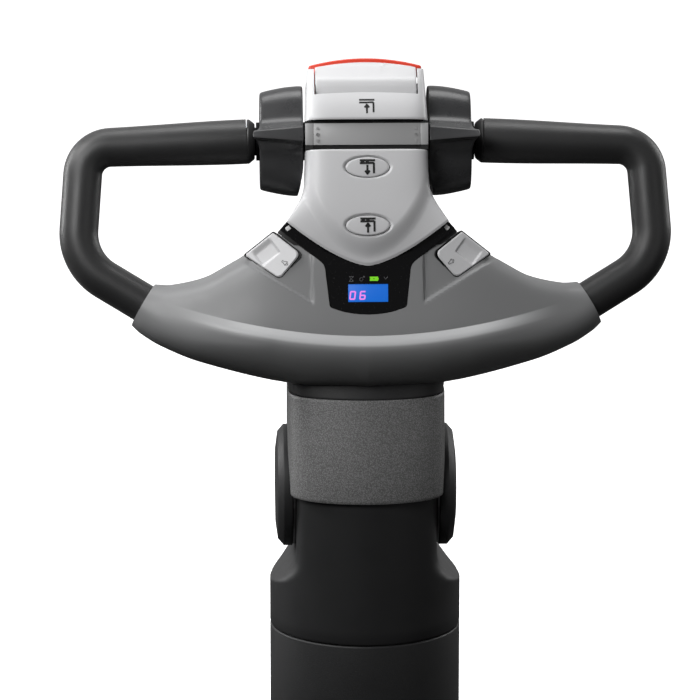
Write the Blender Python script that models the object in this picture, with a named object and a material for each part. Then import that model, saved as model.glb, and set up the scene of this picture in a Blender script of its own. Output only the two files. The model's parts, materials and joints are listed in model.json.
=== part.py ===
"""Tiller control head on a tilting neck and a turning steering column.

Lengths are millimetres, and each mesh is scaled to metres as it is made. In the world, +Z runs up
the column, -Y points at the operator and the origin is on the underside of the base flange. Head
pieces are drawn in the head's own upright frame, with x across, -y out of the face, z up the face
and the origin on the throttle axis. They hang from the head_face empty, which leans back and
brings the head to its real size.
"""

import math

import bmesh
import bpy
from mathutils import Matrix, Vector

MM = 0.001
GAP = 0.4

# Where the joints are
PIVOT_HEIGHT = 255.0
HEAD_RISE = 251.0
HEAD_SETBACK = 6.0
FACE_LEAN = math.radians(18)
HEAD_SCALE = 0.977

# Column
COLUMN_RADIUS = 69.0
COLUMN_WALL = 3.0
SEAM_DROP = 102.0
SEAM_GAP = 1.2
FLANGE_RADIUS = 88.0
FLANGE_THICK = 8.0
TONGUE_HALF = 50.5
TONGUE_TOP = 36.0
SHOULDER_DROP = 69.0
PIN_RADIUS = 8.0
SHAFT_RADIUS = 20.0

# Neck
NECK_HALF = 56.3
NECK_WALL = 2.0
NECK_LOW = 3.5
NECK_HIGH = 76.0
EAR_RADIUS = 44.0
PLATE_INNER = 51.0
PLATE_OUTER = 52.4

# Head, in its own frame
POD_HALF = 44.5
POD_SPLIT = 16.0
POD_WALL = 2.6
BACK_POWER = 4.5
BACK_SPLIT = -58.0
SPINE_FOOT = -169.6
SADDLE_TOP = -12.4
SADDLE_CORNER = -64.0
SADDLE_TIP = -96.0
CROWN_LOW = 9.5
CROWN_PANEL_TOP = 28.8
CROWN_TOP = 49.6
ROCKER_RADIUS = 43.3
ROCKER_HALF = 38.4
POD_POWER = 7
LOWER_HEIGHT = -25.5
RAISE_HEIGHT = -67.7
KEY_HALF = (15.9, 7.3)
HORN_HALF = (13.0, 14.2)
FASCIA_TOP_HALF = 153.3
FASCIA_LOW_HALF = 170.7
FASCIA_WALL = 2.2
FASCIA_ROWS = 12
BACK_START = 0.385
BEZEL_RECESS = 0.5
BEZEL_THICK = 3.0

# Throttle and handles
CROSS_RADIUS = 10.3
SLEEVE_RADIUS = 14.0
WING_INNER = 46.4
WING_NOSE = 44.0
WING_TAIL = 34.0
WING_HEIGHT = 41.0
SLEEVE_HALF = 79.4
GRIP_START = 86.3
GRIP_RADIUS_WIDE = 16.3
GRIP_RADIUS_SLIM = 14.2
CORE_RADIUS = 10.3
CORE_START = 93.3

# Height up the face against how far the pod's front stands out
POD_FRONT = [(-96, 47), (-70, 50), (-40, 50), (-12, 48.8), (9.5, 47.2), (19, 45), (28, 41), (40, 34),
             (50, 25.5)]
# Half length along the fascia against the height of its upper edge, of its lower edge, and its depth
FASCIA_UPPER = [(0, -66), (45, -66), (60, -64), (67.4, -69), (88, -86), (102.6, -94), (117.8, -101),
                (141.7, -105.3), (153.3, -104.3)]
FASCIA_LOWER = [(0, -181), (57.6, -176.5), (120.7, -161.1), (150, -149), (165, -139.5), (170.7, -134)]
FASCIA_DEPTH = [(0, 42), (40, 41.5), (70, 39.5), (95, 34.5), (125, 26), (145, 19.5), (153.3, 17.2)]

# Linear colour, roughness and metallic value of each finish
FINISHES = {
    "shell_light": ((0.62, 0.62, 0.62), 0.38, 0.0),
    "shell_mid": ((0.22, 0.22, 0.225), 0.45, 0.0),
    "shell_dark": ((0.03, 0.03, 0.031), 0.5, 0.0),
    "shell_grained": ((0.07, 0.07, 0.07), 0.6, 0.0),
    "band_grey": ((0.33, 0.33, 0.335), 0.4, 0.0),
    "soft_black": ((0.02, 0.02, 0.02), 0.55, 0.0),
    "gloss_black": ((0.008, 0.008, 0.008), 0.12, 0.0),
    "signal_red": ((0.72, 0.06, 0.03), 0.35, 0.0),
    "display_blue": ((0.01, 0.14, 0.6), 0.2, 0.0),
    "board_green": ((0.02, 0.14, 0.05), 0.5, 0.0),
    "cast_aluminium": ((0.5, 0.5, 0.5), 0.5, 1.0),
    "bright_steel": ((0.56, 0.56, 0.56), 0.32, 1.0),
    "black_steel": ((0.02, 0.02, 0.02), 0.4, 0.6),
    "bronze": ((0.5, 0.3, 0.12), 0.35, 1.0),
}


def clear_scene():
    for obj in list(bpy.data.objects):
        bpy.data.objects.remove(obj, do_unlink=True)


# ---------------------------------------------------------------- curves


def curve_at(points, x):
    """The height at x of a smooth curve through points, which are listed from left to right."""
    if x <= points[0][0]:
        return points[0][1]
    for i in range(len(points) - 1):
        (x0, y0), (x1, y1) = points[i], points[i + 1]
        if x > x1:
            continue
        before, after = points[max(i - 1, 0)], points[min(i + 2, len(points) - 1)]
        slope0 = (y1 - before[1]) / (x1 - before[0])
        slope1 = (after[1] - y0) / (after[0] - x0)
        run, t = x1 - x0, (x - x0) / (x1 - x0)
        start = y0 * (1 + 2 * t) * (1 - t) ** 2 + slope0 * run * t * (1 - t) ** 2
        return start + y1 * t * t * (3 - 2 * t) + slope1 * run * t * t * (t - 1)
    return points[-1][1]


def squared(angle, power):
    """A point on a unit superellipse: round at power 2, boxier above it."""
    c, s = round(math.cos(angle), 9), round(math.sin(angle), 9)
    reach = (abs(c) ** power + abs(s) ** power) ** (-1 / power)
    return c * reach, s * reach


def filleted(corners, radii, steps):
    """A flat route through corners, each turned in an arc of its radius. The ends have none."""
    route = [Vector(corners[0])]
    for i in range(1, len(corners) - 1):
        corner = Vector(corners[i])
        back = (Vector(corners[i - 1]) - corner).normalized()
        ahead = (Vector(corners[i + 1]) - corner).normalized()
        half = back.angle(ahead) / 2
        reach = radii[i - 1] / math.tan(half)
        centre = corner + (back + ahead).normalized() * (radii[i - 1] / math.sin(half))
        first, last = corner + back * reach - centre, corner + ahead * reach - centre
        sweep = first.angle_signed(last)
        for k in range(steps + 1):
            turn = -sweep * k / steps
            c, s = math.cos(turn), math.sin(turn)
            route.append(centre + Vector((c * first.x - s * first.y, s * first.x + c * first.y)))
    route.append(Vector(corners[-1]))
    return route


def rounded_rectangle(half_x, half_y, radius, steps=3):
    outline = []
    for quarter, (sx, sy) in enumerate(((1, 1), (-1, 1), (-1, -1), (1, -1))):
        for k in range(steps + 1):
            angle = math.pi / 2 * (quarter + k / steps)
            x = sx * (half_x - radius) + radius * math.cos(angle)
            y = sy * (half_y - radius) + radius * math.sin(angle)
            outline.append((x, y))
    return outline


def ellipse(half_x, half_y, steps=20):
    turns = [2 * math.pi * k / steps for k in range(steps)]
    return [(half_x * math.cos(a), half_y * math.sin(a)) for a in turns]


# ---------------------------------------------------------------- meshes

FACING = Matrix.Rotation(math.pi / 2, 4, "X")
SIDEWAYS = Matrix(((0, 0, 1, 0), (1, 0, 0, 0), (0, 1, 0, 0), (0, 0, 0, 1)))


def sheet(columns, rows, place, flip=False):
    """An open sheet. place(s, t) gives a point for s and t from 0 to 1."""
    bm = bmesh.new()
    bmesh.ops.create_grid(bm, x_segments=columns, y_segments=rows, size=1)
    for vert in bm.verts:
        vert.co = Vector(place((vert.co.x + 1) / 2, (vert.co.y + 1) / 2)) * MM
    if flip:
        bmesh.ops.reverse_faces(bm, faces=bm.faces)
    return bm


def face_outwards(bm):
    bmesh.ops.recalc_face_normals(bm, faces=bm.faces)
    if bm.calc_volume(signed=True) < 0:
        bmesh.ops.reverse_faces(bm, faces=bm.faces)


def closed_loft(sides, rows, place):
    """A solid whose sections are rings: s goes round a section and t along the solid."""
    bm = sheet(sides, rows, place)
    bmesh.ops.remove_doubles(bm, verts=bm.verts, dist=1e-6)
    bmesh.ops.holes_fill(bm, edges=bm.edges, sides=0)
    face_outwards(bm)
    return bm


def open_loft(sides, rows, place):
    """A tube-like sheet, closed round each section and open at its ends, facing out."""
    bm = sheet(sides, rows, place)
    bmesh.ops.remove_doubles(bm, verts=bm.verts, dist=1e-6)
    return bm


def turned(profile, steps, ring=False):
    """A turned piece about Z. A ring's profile closes on itself, and any other ends on the axis."""
    bm = bmesh.new()
    verts = [bm.verts.new((radius * MM, 0, height * MM)) for radius, height in profile]
    edges = [bm.edges.new(pair) for pair in zip(verts, verts[1:])]
    if ring:
        edges.append(bm.edges.new((verts[-1], verts[0])))
    bmesh.ops.spin(bm, geom=verts + edges, axis=(0, 0, 1), cent=(0, 0, 0), angle=2 * math.pi,
                   steps=steps, use_merge=True)
    bmesh.ops.remove_doubles(bm, verts=bm.verts, dist=1e-6)
    face_outwards(bm)
    return bm


def tube(inner, outer, low, high, steps=24):
    return turned([(inner, low), (outer, low), (outer, high), (inner, high)], steps, ring=True)


def rod(radius, low, high, steps=24):
    return turned([(0, low), (radius, low), (radius, high), (0, high)], steps)


def prism(outline, low, high):
    """An outline in the XY plane, carried along Z from low to high."""
    bm = bmesh.new()
    face = bm.faces.new([bm.verts.new((x * MM, y * MM, low * MM)) for x, y in outline])
    made = bmesh.ops.extrude_face_region(bm, geom=[face])["geom"]
    verts = [item for item in made if isinstance(item, bmesh.types.BMVert)]
    bmesh.ops.translate(bm, verts=verts, vec=(0, 0, (high - low) * MM))
    face_outwards(bm)
    return bm


def block(x, y, z):
    """A box between the two values of each axis."""
    bm = bmesh.new()
    bmesh.ops.create_cube(bm, size=1)
    for vert in bm.verts:
        vert.co = Vector([(lo + hi) / 2 + side * (hi - lo)
                          for side, (lo, hi) in zip(vert.co, (x, y, z))]) * MM
    return bm


def face_block(across, out, up):
    """A box in the head's frame, by how far across, out of the face and up the face it runs."""
    return block(across, (-out[1], -out[0]), up)


def placed(bm, matrix, offset=(0, 0, 0)):
    bmesh.ops.transform(bm, matrix=Matrix.Translation(Vector(offset) * MM) @ matrix, verts=bm.verts)
    return bm


def bevelled(bm, width, segments=2):
    bmesh.ops.bevel(bm, geom=bm.edges[:], offset=width * MM, segments=segments, affect="EDGES",
                    profile=0.5, material=-1)
    return bm


# ---------------------------------------------------------------- objects


def paint(name, finish):
    colour, roughness, metallic = FINISHES[finish]
    material = bpy.data.materials.new(name)
    material.use_nodes = True
    shader = material.node_tree.nodes["Principled BSDF"]
    shader.inputs["Base Color"].default_value = (*colour, 1)
    shader.inputs["Roughness"].default_value = roughness
    shader.inputs["Metallic"].default_value = metallic
    material.diffuse_color = (*colour, 1)
    return material


def empty(name, parent=None, location=(0, 0, 0), lean=0.0):
    obj = bpy.data.objects.new(name, None)
    bpy.context.collection.objects.link(obj)
    obj.parent = parent
    obj.location = Vector(location) * MM
    obj.rotation_euler = (lean, 0, 0)
    return obj


def add(name, bm, finish, parent):
    mesh = bpy.data.meshes.new(name)
    bm.to_mesh(mesh)
    bm.free()
    obj = bpy.data.objects.new(name, mesh)
    bpy.context.collection.objects.link(obj)
    obj.parent = parent
    mesh.materials.append(paint(name, finish))
    mesh.shade_smooth()
    mesh.set_sharp_from_angle(angle=math.radians(35))
    return obj


def thicken(obj, wall):
    modifier = obj.modifiers.new("wall", "SOLIDIFY")
    modifier.thickness = wall * MM
    modifier.offset = -1
    return obj


def combine(obj, bm, operation="DIFFERENCE"):
    """Cuts a shape drawn in the object's own frame out of it, or joins it on."""
    helper = add(f"{obj.name}_tool{len(obj.modifiers)}", bm, "shell_dark", obj.parent)
    helper.hide_render = True
    helper.display_type = "WIRE"
    modifier = obj.modifiers.new("shape", "BOOLEAN")
    modifier.operation = operation
    modifier.solver = "EXACT"
    modifier.object = helper
    return obj


# ---------------------------------------------------------------- base


def add_base():
    flange = add("base_flange", turned([(34, 0), (FLANGE_RADIUS, 0), (FLANGE_RADIUS, FLANGE_THICK),
                                        (34, FLANGE_THICK)], 36, ring=True), "bright_steel", None)
    for index in range(4):
        angle = math.pi / 4 + index * math.pi / 2
        spot = (79 * math.cos(angle), 79 * math.sin(angle), 0)
        combine(flange, placed(rod(4.5, -2, 12, 12), Matrix(), spot))
        bolt = turned([(0, 1), (4, 1), (4, 8.3), (7, 8.3), (7, 13), (0, 13)], 12)
        add(f"flange_bolt_{index + 1}", placed(bolt, Matrix(), spot), "bright_steel", None)
    add("column_tube", tube(28.5, 33, 0.5, 128, 28), "bright_steel", None)
    seam = PIVOT_HEIGHT - SEAM_DROP
    cover = [(COLUMN_RADIUS - COLUMN_WALL, FLANGE_THICK + GAP), (COLUMN_RADIUS, FLANGE_THICK + GAP),
             (COLUMN_RADIUS, seam - SEAM_GAP / 2 - 0.8), (COLUMN_RADIUS - 0.8, seam - SEAM_GAP / 2),
             (COLUMN_RADIUS - COLUMN_WALL, seam - SEAM_GAP / 2)]
    add("column_lower_cover", turned(cover, 44, ring=True), "shell_dark", None)
    add("cover_guide_ring", tube(56, COLUMN_RADIUS - COLUMN_WALL - GAP, seam - 8, seam + 6, 32),
        "soft_black", None)
    for name, low in (("lower_steering_bearing", 20), ("upper_steering_bearing", 112)):
        add(name, tube(SHAFT_RADIUS + GAP, 28.1, low, low + 12, 24), "bright_steel", None)


# ---------------------------------------------------------------- column


def column_half(height):
    """How far the column's sides reach: full round below the shoulder, flat beside the ears."""
    return curve_at([(-SHOULDER_DROP, COLUMN_RADIUS), (-60, 60.2), (-52, 53), (-46, TONGUE_HALF + 0.5),
                     (-40, TONGUE_HALF)], height)


def add_column_cover(pivot):
    rises = [COLUMN_RADIUS * math.sin(math.radians(a)) for a in (0, 10, 20)]
    heights = [-SEAM_DROP + SEAM_GAP / 2, -SHOULDER_DROP - 1, -SHOULDER_DROP + 1, -60, -52, -46, -40,
               *rises, TONGUE_TOP]

    def place(s, t):
        height = heights[round(t * (len(heights) - 1))]
        angle = 2 * math.pi * s
        half = column_half(height) if height > -SHOULDER_DROP else COLUMN_RADIUS
        across = COLUMN_RADIUS * math.cos(angle)
        out = COLUMN_RADIUS * math.sin(angle)
        reach = math.sqrt(1 - (max(height, 0) / COLUMN_RADIUS) ** 2)
        return max(-half, min(half, across)), out * reach, height

    loft = open_loft(44, len(heights) - 1, place)
    cover = thicken(add("column_upper_cover", loft, "shell_dark", pivot), COLUMN_WALL)
    combine(cover, placed(rod(12, -70, 70, 20), SIDEWAYS))


def add_column(pivot):
    add_column_cover(pivot)
    head = add("steering_head", block((-46, 46), (-19, 19), (-22, 22)), "cast_aluminium", pivot)
    combine(head, rod(SHAFT_RADIUS, -240, -10, 28), "UNION")
    combine(head, placed(rod(10.5, -70, 70, 20), SIDEWAYS))
    add("tilt_pin", placed(rod(PIN_RADIUS, -60, 60, 24), SIDEWAYS), "bright_steel", pivot)
    for name, side in (("tilt_bush_left", -1), ("tilt_bush_right", 1)):
        bush = tube(PIN_RADIUS + 0.35, 10.15, 28, 50, 20)
        add(name, placed(bush, SIDEWAYS, (0 if side > 0 else -78, 0, 0)), "bronze", pivot)


# ---------------------------------------------------------------- neck


def neck_section(angle, half, front, back, bulge=0.24):
    """A boxy section whose front and back bulge towards their middles."""
    x, y = squared(angle, 7)
    depth = (front if y < 0 else back) * abs(y) * (1 - bulge * x * x)
    return half * x, (-depth if y < 0 else depth)


def neck_depths(height):
    """How far the neck reaches in front of and behind the pivot, at a height above it."""
    front = curve_at([(-60, 73), (3.5, 73), (20, 72), (45, 67.5), (76, 58.5), (92, 53.5)], height)
    back = curve_at([(-60, 73), (3.5, 73), (20, 71.5), (40, 66), (60, 56), (76, 48.5), (92, 45)], height)
    return front, back


def neck_sheet(low, high, half_low, half_high, swell=0.0):
    """The place function of the neck's outer skin between two heights above the pivot."""
    def place(s, t):
        height = low + (high - low) * t
        front, back = neck_depths(height)
        half = half_low + (half_high - half_low) * t
        x, y = neck_section(2 * math.pi * s, half, front + swell, back + swell)
        return x, y, height

    return place


def add_neck(pivot):
    skin = neck_sheet(NECK_LOW, NECK_HIGH, NECK_HALF, NECK_HALF)
    housing = thicken(add("neck_housing", open_loft(36, 4, skin), "shell_grained", pivot), NECK_WALL)
    combine(housing, placed(rod(EAR_RADIUS + 0.7, -90, 90, 36), SIDEWAYS))
    skin = neck_sheet(NECK_HIGH + GAP, NECK_HIGH + 16, NECK_HALF - 1.2, NECK_HALF + 1.5)
    thicken(add("neck_collar", open_loft(36, 1, skin), "shell_dark", pivot), 2.4)

    for name, side in (("left", -1), ("right", 1)):
        half_disc = [(43 * math.cos(math.radians(a)), 43 * math.sin(math.radians(a)))
                     for a in range(-232, 53, 12)]
        outline = [*half_disc, (26, 60), (16, 92), (-24, 92), (-30, 60)]
        near, far = sorted((side * PLATE_INNER, side * PLATE_OUTER))
        plate = add(f"neck_side_plate_{name}", placed(prism(outline, near, far), SIDEWAYS),
                    "bright_steel", pivot)
        combine(plate, placed(rod(PIN_RADIUS + GAP, -90, 90, 20), SIDEWAYS))
        cup = [(0, 61.5), (30, 61.2), (37, 58), (38, PLATE_OUTER + GAP), (EAR_RADIUS, PLATE_OUTER + GAP),
               (EAR_RADIUS, 59.4), (EAR_RADIUS - 5, 63.4), (24, 64.7), (0, 65)]
        ear = turned(cup, 36)
        turn = SIDEWAYS if side > 0 else Matrix.Rotation(math.pi, 4, "Z") @ SIDEWAYS
        add(f"pivot_cover_{name}", placed(ear, turn), "shell_dark", pivot)


# ---------------------------------------------------------------- head structure


def add_structure(face):
    neck_block = face_block((-50.6, 50.6), (-52, -18), (-180, -150.4))
    add("neck_block", bevelled(neck_block, 2), "cast_aluminium", face)
    frame = add("head_frame", face_block((-26, 26), (-40, -18), (-150, -14)), "cast_aluminium", face)
    combine(frame, face_block((-24, 24), (-25, 9.5), (-147, -127)), "UNION")
    for side in (-1, 1):
        near, far = sorted((side * 20, side * 30))
        cheek = [(-40, -60), (-18, -60), (18, -14), (22, 0), (15, 16), (0, 22), (-15, 16), (-24, 2),
                 (-40, -30)]
        outline = [(-out, up) for out, up in cheek]
        combine(frame, placed(prism(outline, near, far), SIDEWAYS), "UNION")
        arm = [(20, -148), (100, -139), (134, -127), (130, -113), (95, -122), (20, -126)]
        outline = [(side * x, z) for x, z in arm]
        combine(frame, placed(prism(outline, 0.8, 10), FACING), "UNION")
    combine(frame, placed(rod(17.4, -90, 90, 28), SIDEWAYS))
    for name, side in (("left", -1), ("right", 1)):
        bush = tube(SLEEVE_RADIUS + 0.35, 17.05, 20, 30, 24)
        add(f"throttle_bush_{name}", placed(bush, SIDEWAYS, (0 if side > 0 else -50, 0, 0)),
            "bronze", face)


# ---------------------------------------------------------------- handles


def handle_route():
    """The loop's centre line in the face plane, from the wing's end round to the fascia's socket."""
    corners = [(GRIP_START, 0), (204.4, -4.4), (210.4, -88.2), (144.5, -128.5)]
    return filleted(corners, (21, 40), 6)


def stations(route, start, spacing):
    """Points along a route at about even steps, from a distance along it, with the bends kept."""
    kept, travelled = [], 0.0
    for before, after in zip(route, route[1:]):
        length = (after - before).length
        pieces = max(1, round(length / spacing))
        for k in range(pieces):
            if travelled + length * k / pieces >= start:
                kept.append(before.lerp(after, k / pieces))
        travelled += length
    return [*kept, route[-1]]


def swept(route, radius_at, sides, side):
    """A round bar along a flat route in the face plane, mirrored to the given side."""
    count = len(route) - 1

    def place(s, t):
        i = round(t * count)
        ahead = (route[min(i + 1, count)] - route[max(i - 1, 0)]).normalized()
        radius, angle = radius_at(i / count), 2 * math.pi * s
        spot = route[i] + Vector((-ahead.y, ahead.x)) * (radius * math.cos(angle))
        return side * spot.x, radius * math.sin(angle), spot.y

    return closed_loft(sides, count, place)


def add_handles(face):
    route = handle_route()
    for name, side in (("left", -1), ("right", 1)):
        line = stations(route, 0, 32)
        line[-1] = line[-1] + (line[-2] - line[-1]).normalized() * 11

        def grip_radius(t):
            return GRIP_RADIUS_WIDE + (GRIP_RADIUS_SLIM - GRIP_RADIUS_WIDE) * min(1, t * 2.6)

        grip = add(f"grip_{name}", swept(line, grip_radius, 14, side), "soft_black", face)
        bore = stations(route, 0, 32)
        bore[0] = bore[0] + Vector((-4, 0))
        combine(grip, swept(bore, lambda t: CORE_RADIUS + 1.0, 10, side))
        core = stations(route, CORE_START - GRIP_START, 32)
        add(f"handle_core_{name}", swept(core, lambda t: CORE_RADIUS, 8, side), "bright_steel", face)
        cone = [(CROSS_RADIUS + GAP, 80.2), (13.4, 80.2), (GRIP_RADIUS_WIDE, 84.6),
                (GRIP_RADIUS_WIDE, 85.2), (CROSS_RADIUS + GAP, 85.2)]
        turn = SIDEWAYS if side > 0 else Matrix.Rotation(math.pi, 4, "Z") @ SIDEWAYS
        add(f"grip_end_ring_{name}", placed(turned(cone, 20, ring=True), turn), "soft_black", face)
    add("cross_bar", placed(rod(CROSS_RADIUS, -93, 93, 24), SIDEWAYS), "black_steel", face)


# ---------------------------------------------------------------- fascia


def fascia_spot(s, c):
    """Across, out and up for a point s along the fascia, -1 to 1, and c down it, 0 to 1."""
    along = abs(s)
    upper = FASCIA_TOP_HALF * along, curve_at(FASCIA_UPPER, FASCIA_TOP_HALF * along)
    lower = FASCIA_LOW_HALF * along, curve_at(FASCIA_LOWER, FASCIA_LOW_HALF * along)
    across = upper[0] + (lower[0] - upper[0]) * c
    up = upper[1] + (lower[1] - upper[1]) * c
    return math.copysign(across, s), fascia_out(along, c), up


def fascia_out(along, c):
    """How far the front stands out: round at the ends, flat with a forward lip in the middle."""
    middle = 1 - min(1, along) ** 3
    offset = 2 * c - 1
    power = 2 + (5 if offset < 0 else 2.2) * middle
    out = curve_at(FASCIA_DEPTH, FASCIA_TOP_HALF * along) * math.sqrt(max(0, 1 - abs(offset) ** power))
    lip = 5.5 * max(0, 1 - (along / 0.85) ** 2) * math.exp(-((c - 0.73) / 0.1) ** 2)
    return out + lip


def fascia_surface(across, up):
    """How far the fascia's front stands out at a point of the face."""
    c = 0.5
    for _ in range(6):
        s = abs(across) / (FASCIA_TOP_HALF + (FASCIA_LOW_HALF - FASCIA_TOP_HALF) * c)
        upper = curve_at(FASCIA_UPPER, FASCIA_TOP_HALF * s)
        lower = curve_at(FASCIA_LOWER, FASCIA_LOW_HALF * s)
        c = min(1, max(0, (upper - up) / (upper - lower)))
    return fascia_out(s, c)


def bezel_outline(grow=0.0):
    half = [(0, -131), (14, -130.6), (23, -128.5), (26.6, -125), (28.5, -112), (30.8, -94.5),
            (46, -83), (62.5, -69.5), (57, -63), (24, -78), (0, -80)]
    ring = half + [(-x, y) for x, y in half[-2:0:-1]]
    if not grow:
        return ring
    centre = Vector((0, -92))
    return [tuple(Vector(p) + (Vector(p) - centre).normalized() * grow) for p in ring]


def add_fascia(face):
    def front(s, t):
        across, out, up = fascia_spot(2 * s - 1, (1 - math.cos(math.pi * t)) / 2)
        return across, -out, up

    fascia = thicken(add("fascia", sheet(24, FASCIA_ROWS, front), "shell_mid", face), FASCIA_WALL)
    combine(fascia, placed(prism(bezel_outline(0.5), 8, 70), FACING))
    for side in (-1, 1):
        combine(fascia, horn_prism(side, 0.5, -14, 12))
    combine(fascia, placed(collar_plug(), face_from_world()))

    for name, side in (("left", -1), ("right", 1)):
        def back(s, t, side=side):
            along = BACK_START + (1 - BACK_START) * s
            c = (1 - math.cos(math.pi * t)) / 2
            across, _, up = fascia_spot(side * along, c)
            depth = curve_at([(0, 27), (70, 27), (100, 24), (153.3, 17.2)], FASCIA_TOP_HALF * along)
            power = 2 + 3 * (1 - along ** 3)
            out = -depth * math.sqrt(max(0, 1 - abs(2 * c - 1) ** power)) - GAP
            return across, -out, up

        thicken(add(f"fascia_back_{name}", sheet(8, 6, back, flip=side > 0), "shell_dark", face),
                FASCIA_WALL)


def face_from_world():
    """Carries a shape drawn about the tilt pivot into the head's frame."""
    to_face = Matrix.Translation(Vector((0, HEAD_SETBACK, HEAD_RISE)) * MM)
    lean = Matrix.Rotation(-FACE_LEAN, 4, "X")
    return (to_face @ lean @ Matrix.Scale(HEAD_SCALE, 4)).inverted()


def collar_plug():
    skin = neck_sheet(NECK_HIGH - 4, NECK_HIGH + 22, NECK_HALF + 2.2, NECK_HALF + 2.2, 0.8)
    return closed_loft(48, 2, skin)


def add_bezel(face):
    def bezel_depth(x, z):
        return fascia_surface(x, min(z, -84)) - BEZEL_RECESS

    bm = placed(prism(bezel_outline(), 0, 1), FACING)
    for vert in bm.verts:
        x, z = vert.co.x / MM, vert.co.z / MM
        lift = BEZEL_THICK if vert.co.y < -0.5 * MM else 0
        vert.co.y = -(bezel_depth(x, z) - BEZEL_THICK + lift) * MM
    bezel = add("display_bezel", bm, "gloss_black", face)
    combine(bezel, placed(prism(rounded_rectangle(16.2, 8.2, 1), 20, 60), FACING, (0, 0, -115.5)))
    out = bezel_depth(10, -115.5)
    add("display_window", face_block((-15.8, 15.8), (out - 4, out - 0.6), (-123.3, -107.7)),
        "display_blue", face)
    add("display_module", face_block((-22, 22), (out - 14, out - 6.4), (-126, -98)), "soft_black", face)


# ---------------------------------------------------------------- pod covers


def saddle_half(height):
    return curve_at([(-64, 58.5), (-57, 54), (-48, 48.8), (-38, 45.6), (-28, 44.7), (-12, 44.5)], height)


def add_saddle(face):
    def place(s, t):
        angle = math.pi * (1 - s)
        x, y = squared(angle, POD_POWER)
        side_height = SADDLE_TOP + (SADDLE_CORNER - SADDLE_TOP) * t
        across = saddle_half(side_height) * x
        tip = SADDLE_CORNER - (SADDLE_CORNER - SADDLE_TIP) * (1 - abs(x) ** 1.5)
        up = SADDLE_TOP + (tip - SADDLE_TOP) * t
        skirt = curve_at([(-64, 43), (-50, 34), (-36, POD_SPLIT), (-12, POD_SPLIT)], side_height)
        foot = max(POD_SPLIT, skirt)
        return across, -(foot + (curve_at(POD_FRONT, up) - foot) * y), up

    cover = thicken(add("saddle_cover", sheet(18, 9, place, flip=True), "shell_light", face), POD_WALL)
    for height in (LOWER_HEIGHT, RAISE_HEIGHT):
        combine(cover, placed(prism(ellipse(KEY_HALF[0] + GAP, KEY_HALF[1] + GAP), 30, 60), FACING, (0, 0, height)))


def add_crown(face):
    def place(s, t):
        x, y = squared(math.pi * (1 - s), POD_POWER)
        up = CROWN_TOP + (CROWN_LOW - CROWN_TOP) * t
        half = POD_HALF - 2.2 * (1 - t)
        out = curve_at(POD_FRONT, up)
        return half * x, -(POD_SPLIT + (out - POD_SPLIT) * y), up

    cover = thicken(add("crown_cover", sheet(16, 6, place, flip=True), "shell_light", face), POD_WALL)
    combine(cover, face_block((-37.4, 37.4), (10, 60), (CROWN_PANEL_TOP, 60)))


def add_pod_backs(face):
    split = POD_SPLIT - GAP

    def back_out(up):
        return -41 + 0.325 * up

    def upper(s, t):
        x, y = squared(math.pi * (1 - s), BACK_POWER)
        up = BACK_SPLIT + (44 - BACK_SPLIT) * t
        half = curve_at([(BACK_SPLIT, 52), (-48, 47.5), (-36, 45), (44, 43)], up)
        return half * x, -(split + (back_out(up) - split) * y), up

    def lower(s, t):
        x, y = squared(math.pi * (1 - s), BACK_POWER)
        top = BACK_SPLIT - 3 * GAP
        up = SPINE_FOOT + (top - SPINE_FOOT) * t
        half = curve_at([(SPINE_FOOT, 56.8), (-120, 55.5), (top, 52)], up)
        out = -GAP + (back_out(up) + GAP) * y
        return half * x, -out, up - math.tan(FACE_LEAN) * out * (1 - t)

    pod = thicken(add("pod_back_cover", sheet(14, 5, upper, flip=True), "shell_dark", face), POD_WALL)
    combine(pod, placed(rod(SLEEVE_RADIUS + 1.2, -90, 90, 24), SIDEWAYS))
    thicken(add("spine_cover", sheet(14, 3, lower, flip=True), "shell_dark", face), POD_WALL)
    for name, side in (("left", -1), ("right", 1)):
        near, far = sorted((side * (ROCKER_HALF + GAP), side * 44.2))
        tab = [(16.4, 8.9), (43.6, 8.7), (44.4, 4), (44.6, -2), (44.2, -11.6), (16.4, -11.6)]
        outline = [(-out, up) for out, up in tab]
        add(f"band_end_{name}", placed(prism(outline, near, far), SIDEWAYS), "band_grey", face)


# ---------------------------------------------------------------- moving controls


def add_throttle(throttle):
    sleeve = tube(CROSS_RADIUS + 0.35, SLEEVE_RADIUS, -SLEEVE_HALF, SLEEVE_HALF, 28)
    add("throttle_sleeve", placed(sleeve, SIDEWAYS), "black_steel", throttle)
    add("throttle_magnet", placed(tube(SLEEVE_RADIUS + 0.35, 18.5, -5, 5, 20), SIDEWAYS),
        "soft_black", throttle)
    # How far each section is from the wing's inner face, and its scale
    sections = ((0, 0.70), (1.6, 0.86), (5, 1.0), (25, 1.0), (29.5, 0.95), (31.2, 0.86))

    for name, side in (("left", -1), ("right", 1)):
        def place(s, t, side=side):
            reach, scale = sections[round(t * (len(sections) - 1))]
            x, y = squared(2 * math.pi * s, 1.7)
            out = (WING_NOSE if x > 0 else WING_TAIL) * x * scale
            up = WING_HEIGHT * y * scale
            nose = max(0, x) ** 4
            low = max(0, -y) ** 2
            across = WING_INNER + reach + (4.2 * nose if t > 0.5 else 0)
            across += 3.6 * low * max(0, 1 - reach / 12) if scale > 0.8 else 0
            return side * across, -out, up

        loft = closed_loft(32, len(sections) - 1, place)
        wing = add(f"throttle_wing_{name}", loft, "shell_dark", throttle)
        combine(wing, placed(rod(SLEEVE_RADIUS + 0.35, -90, 90, 28), SIDEWAYS))


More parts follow.
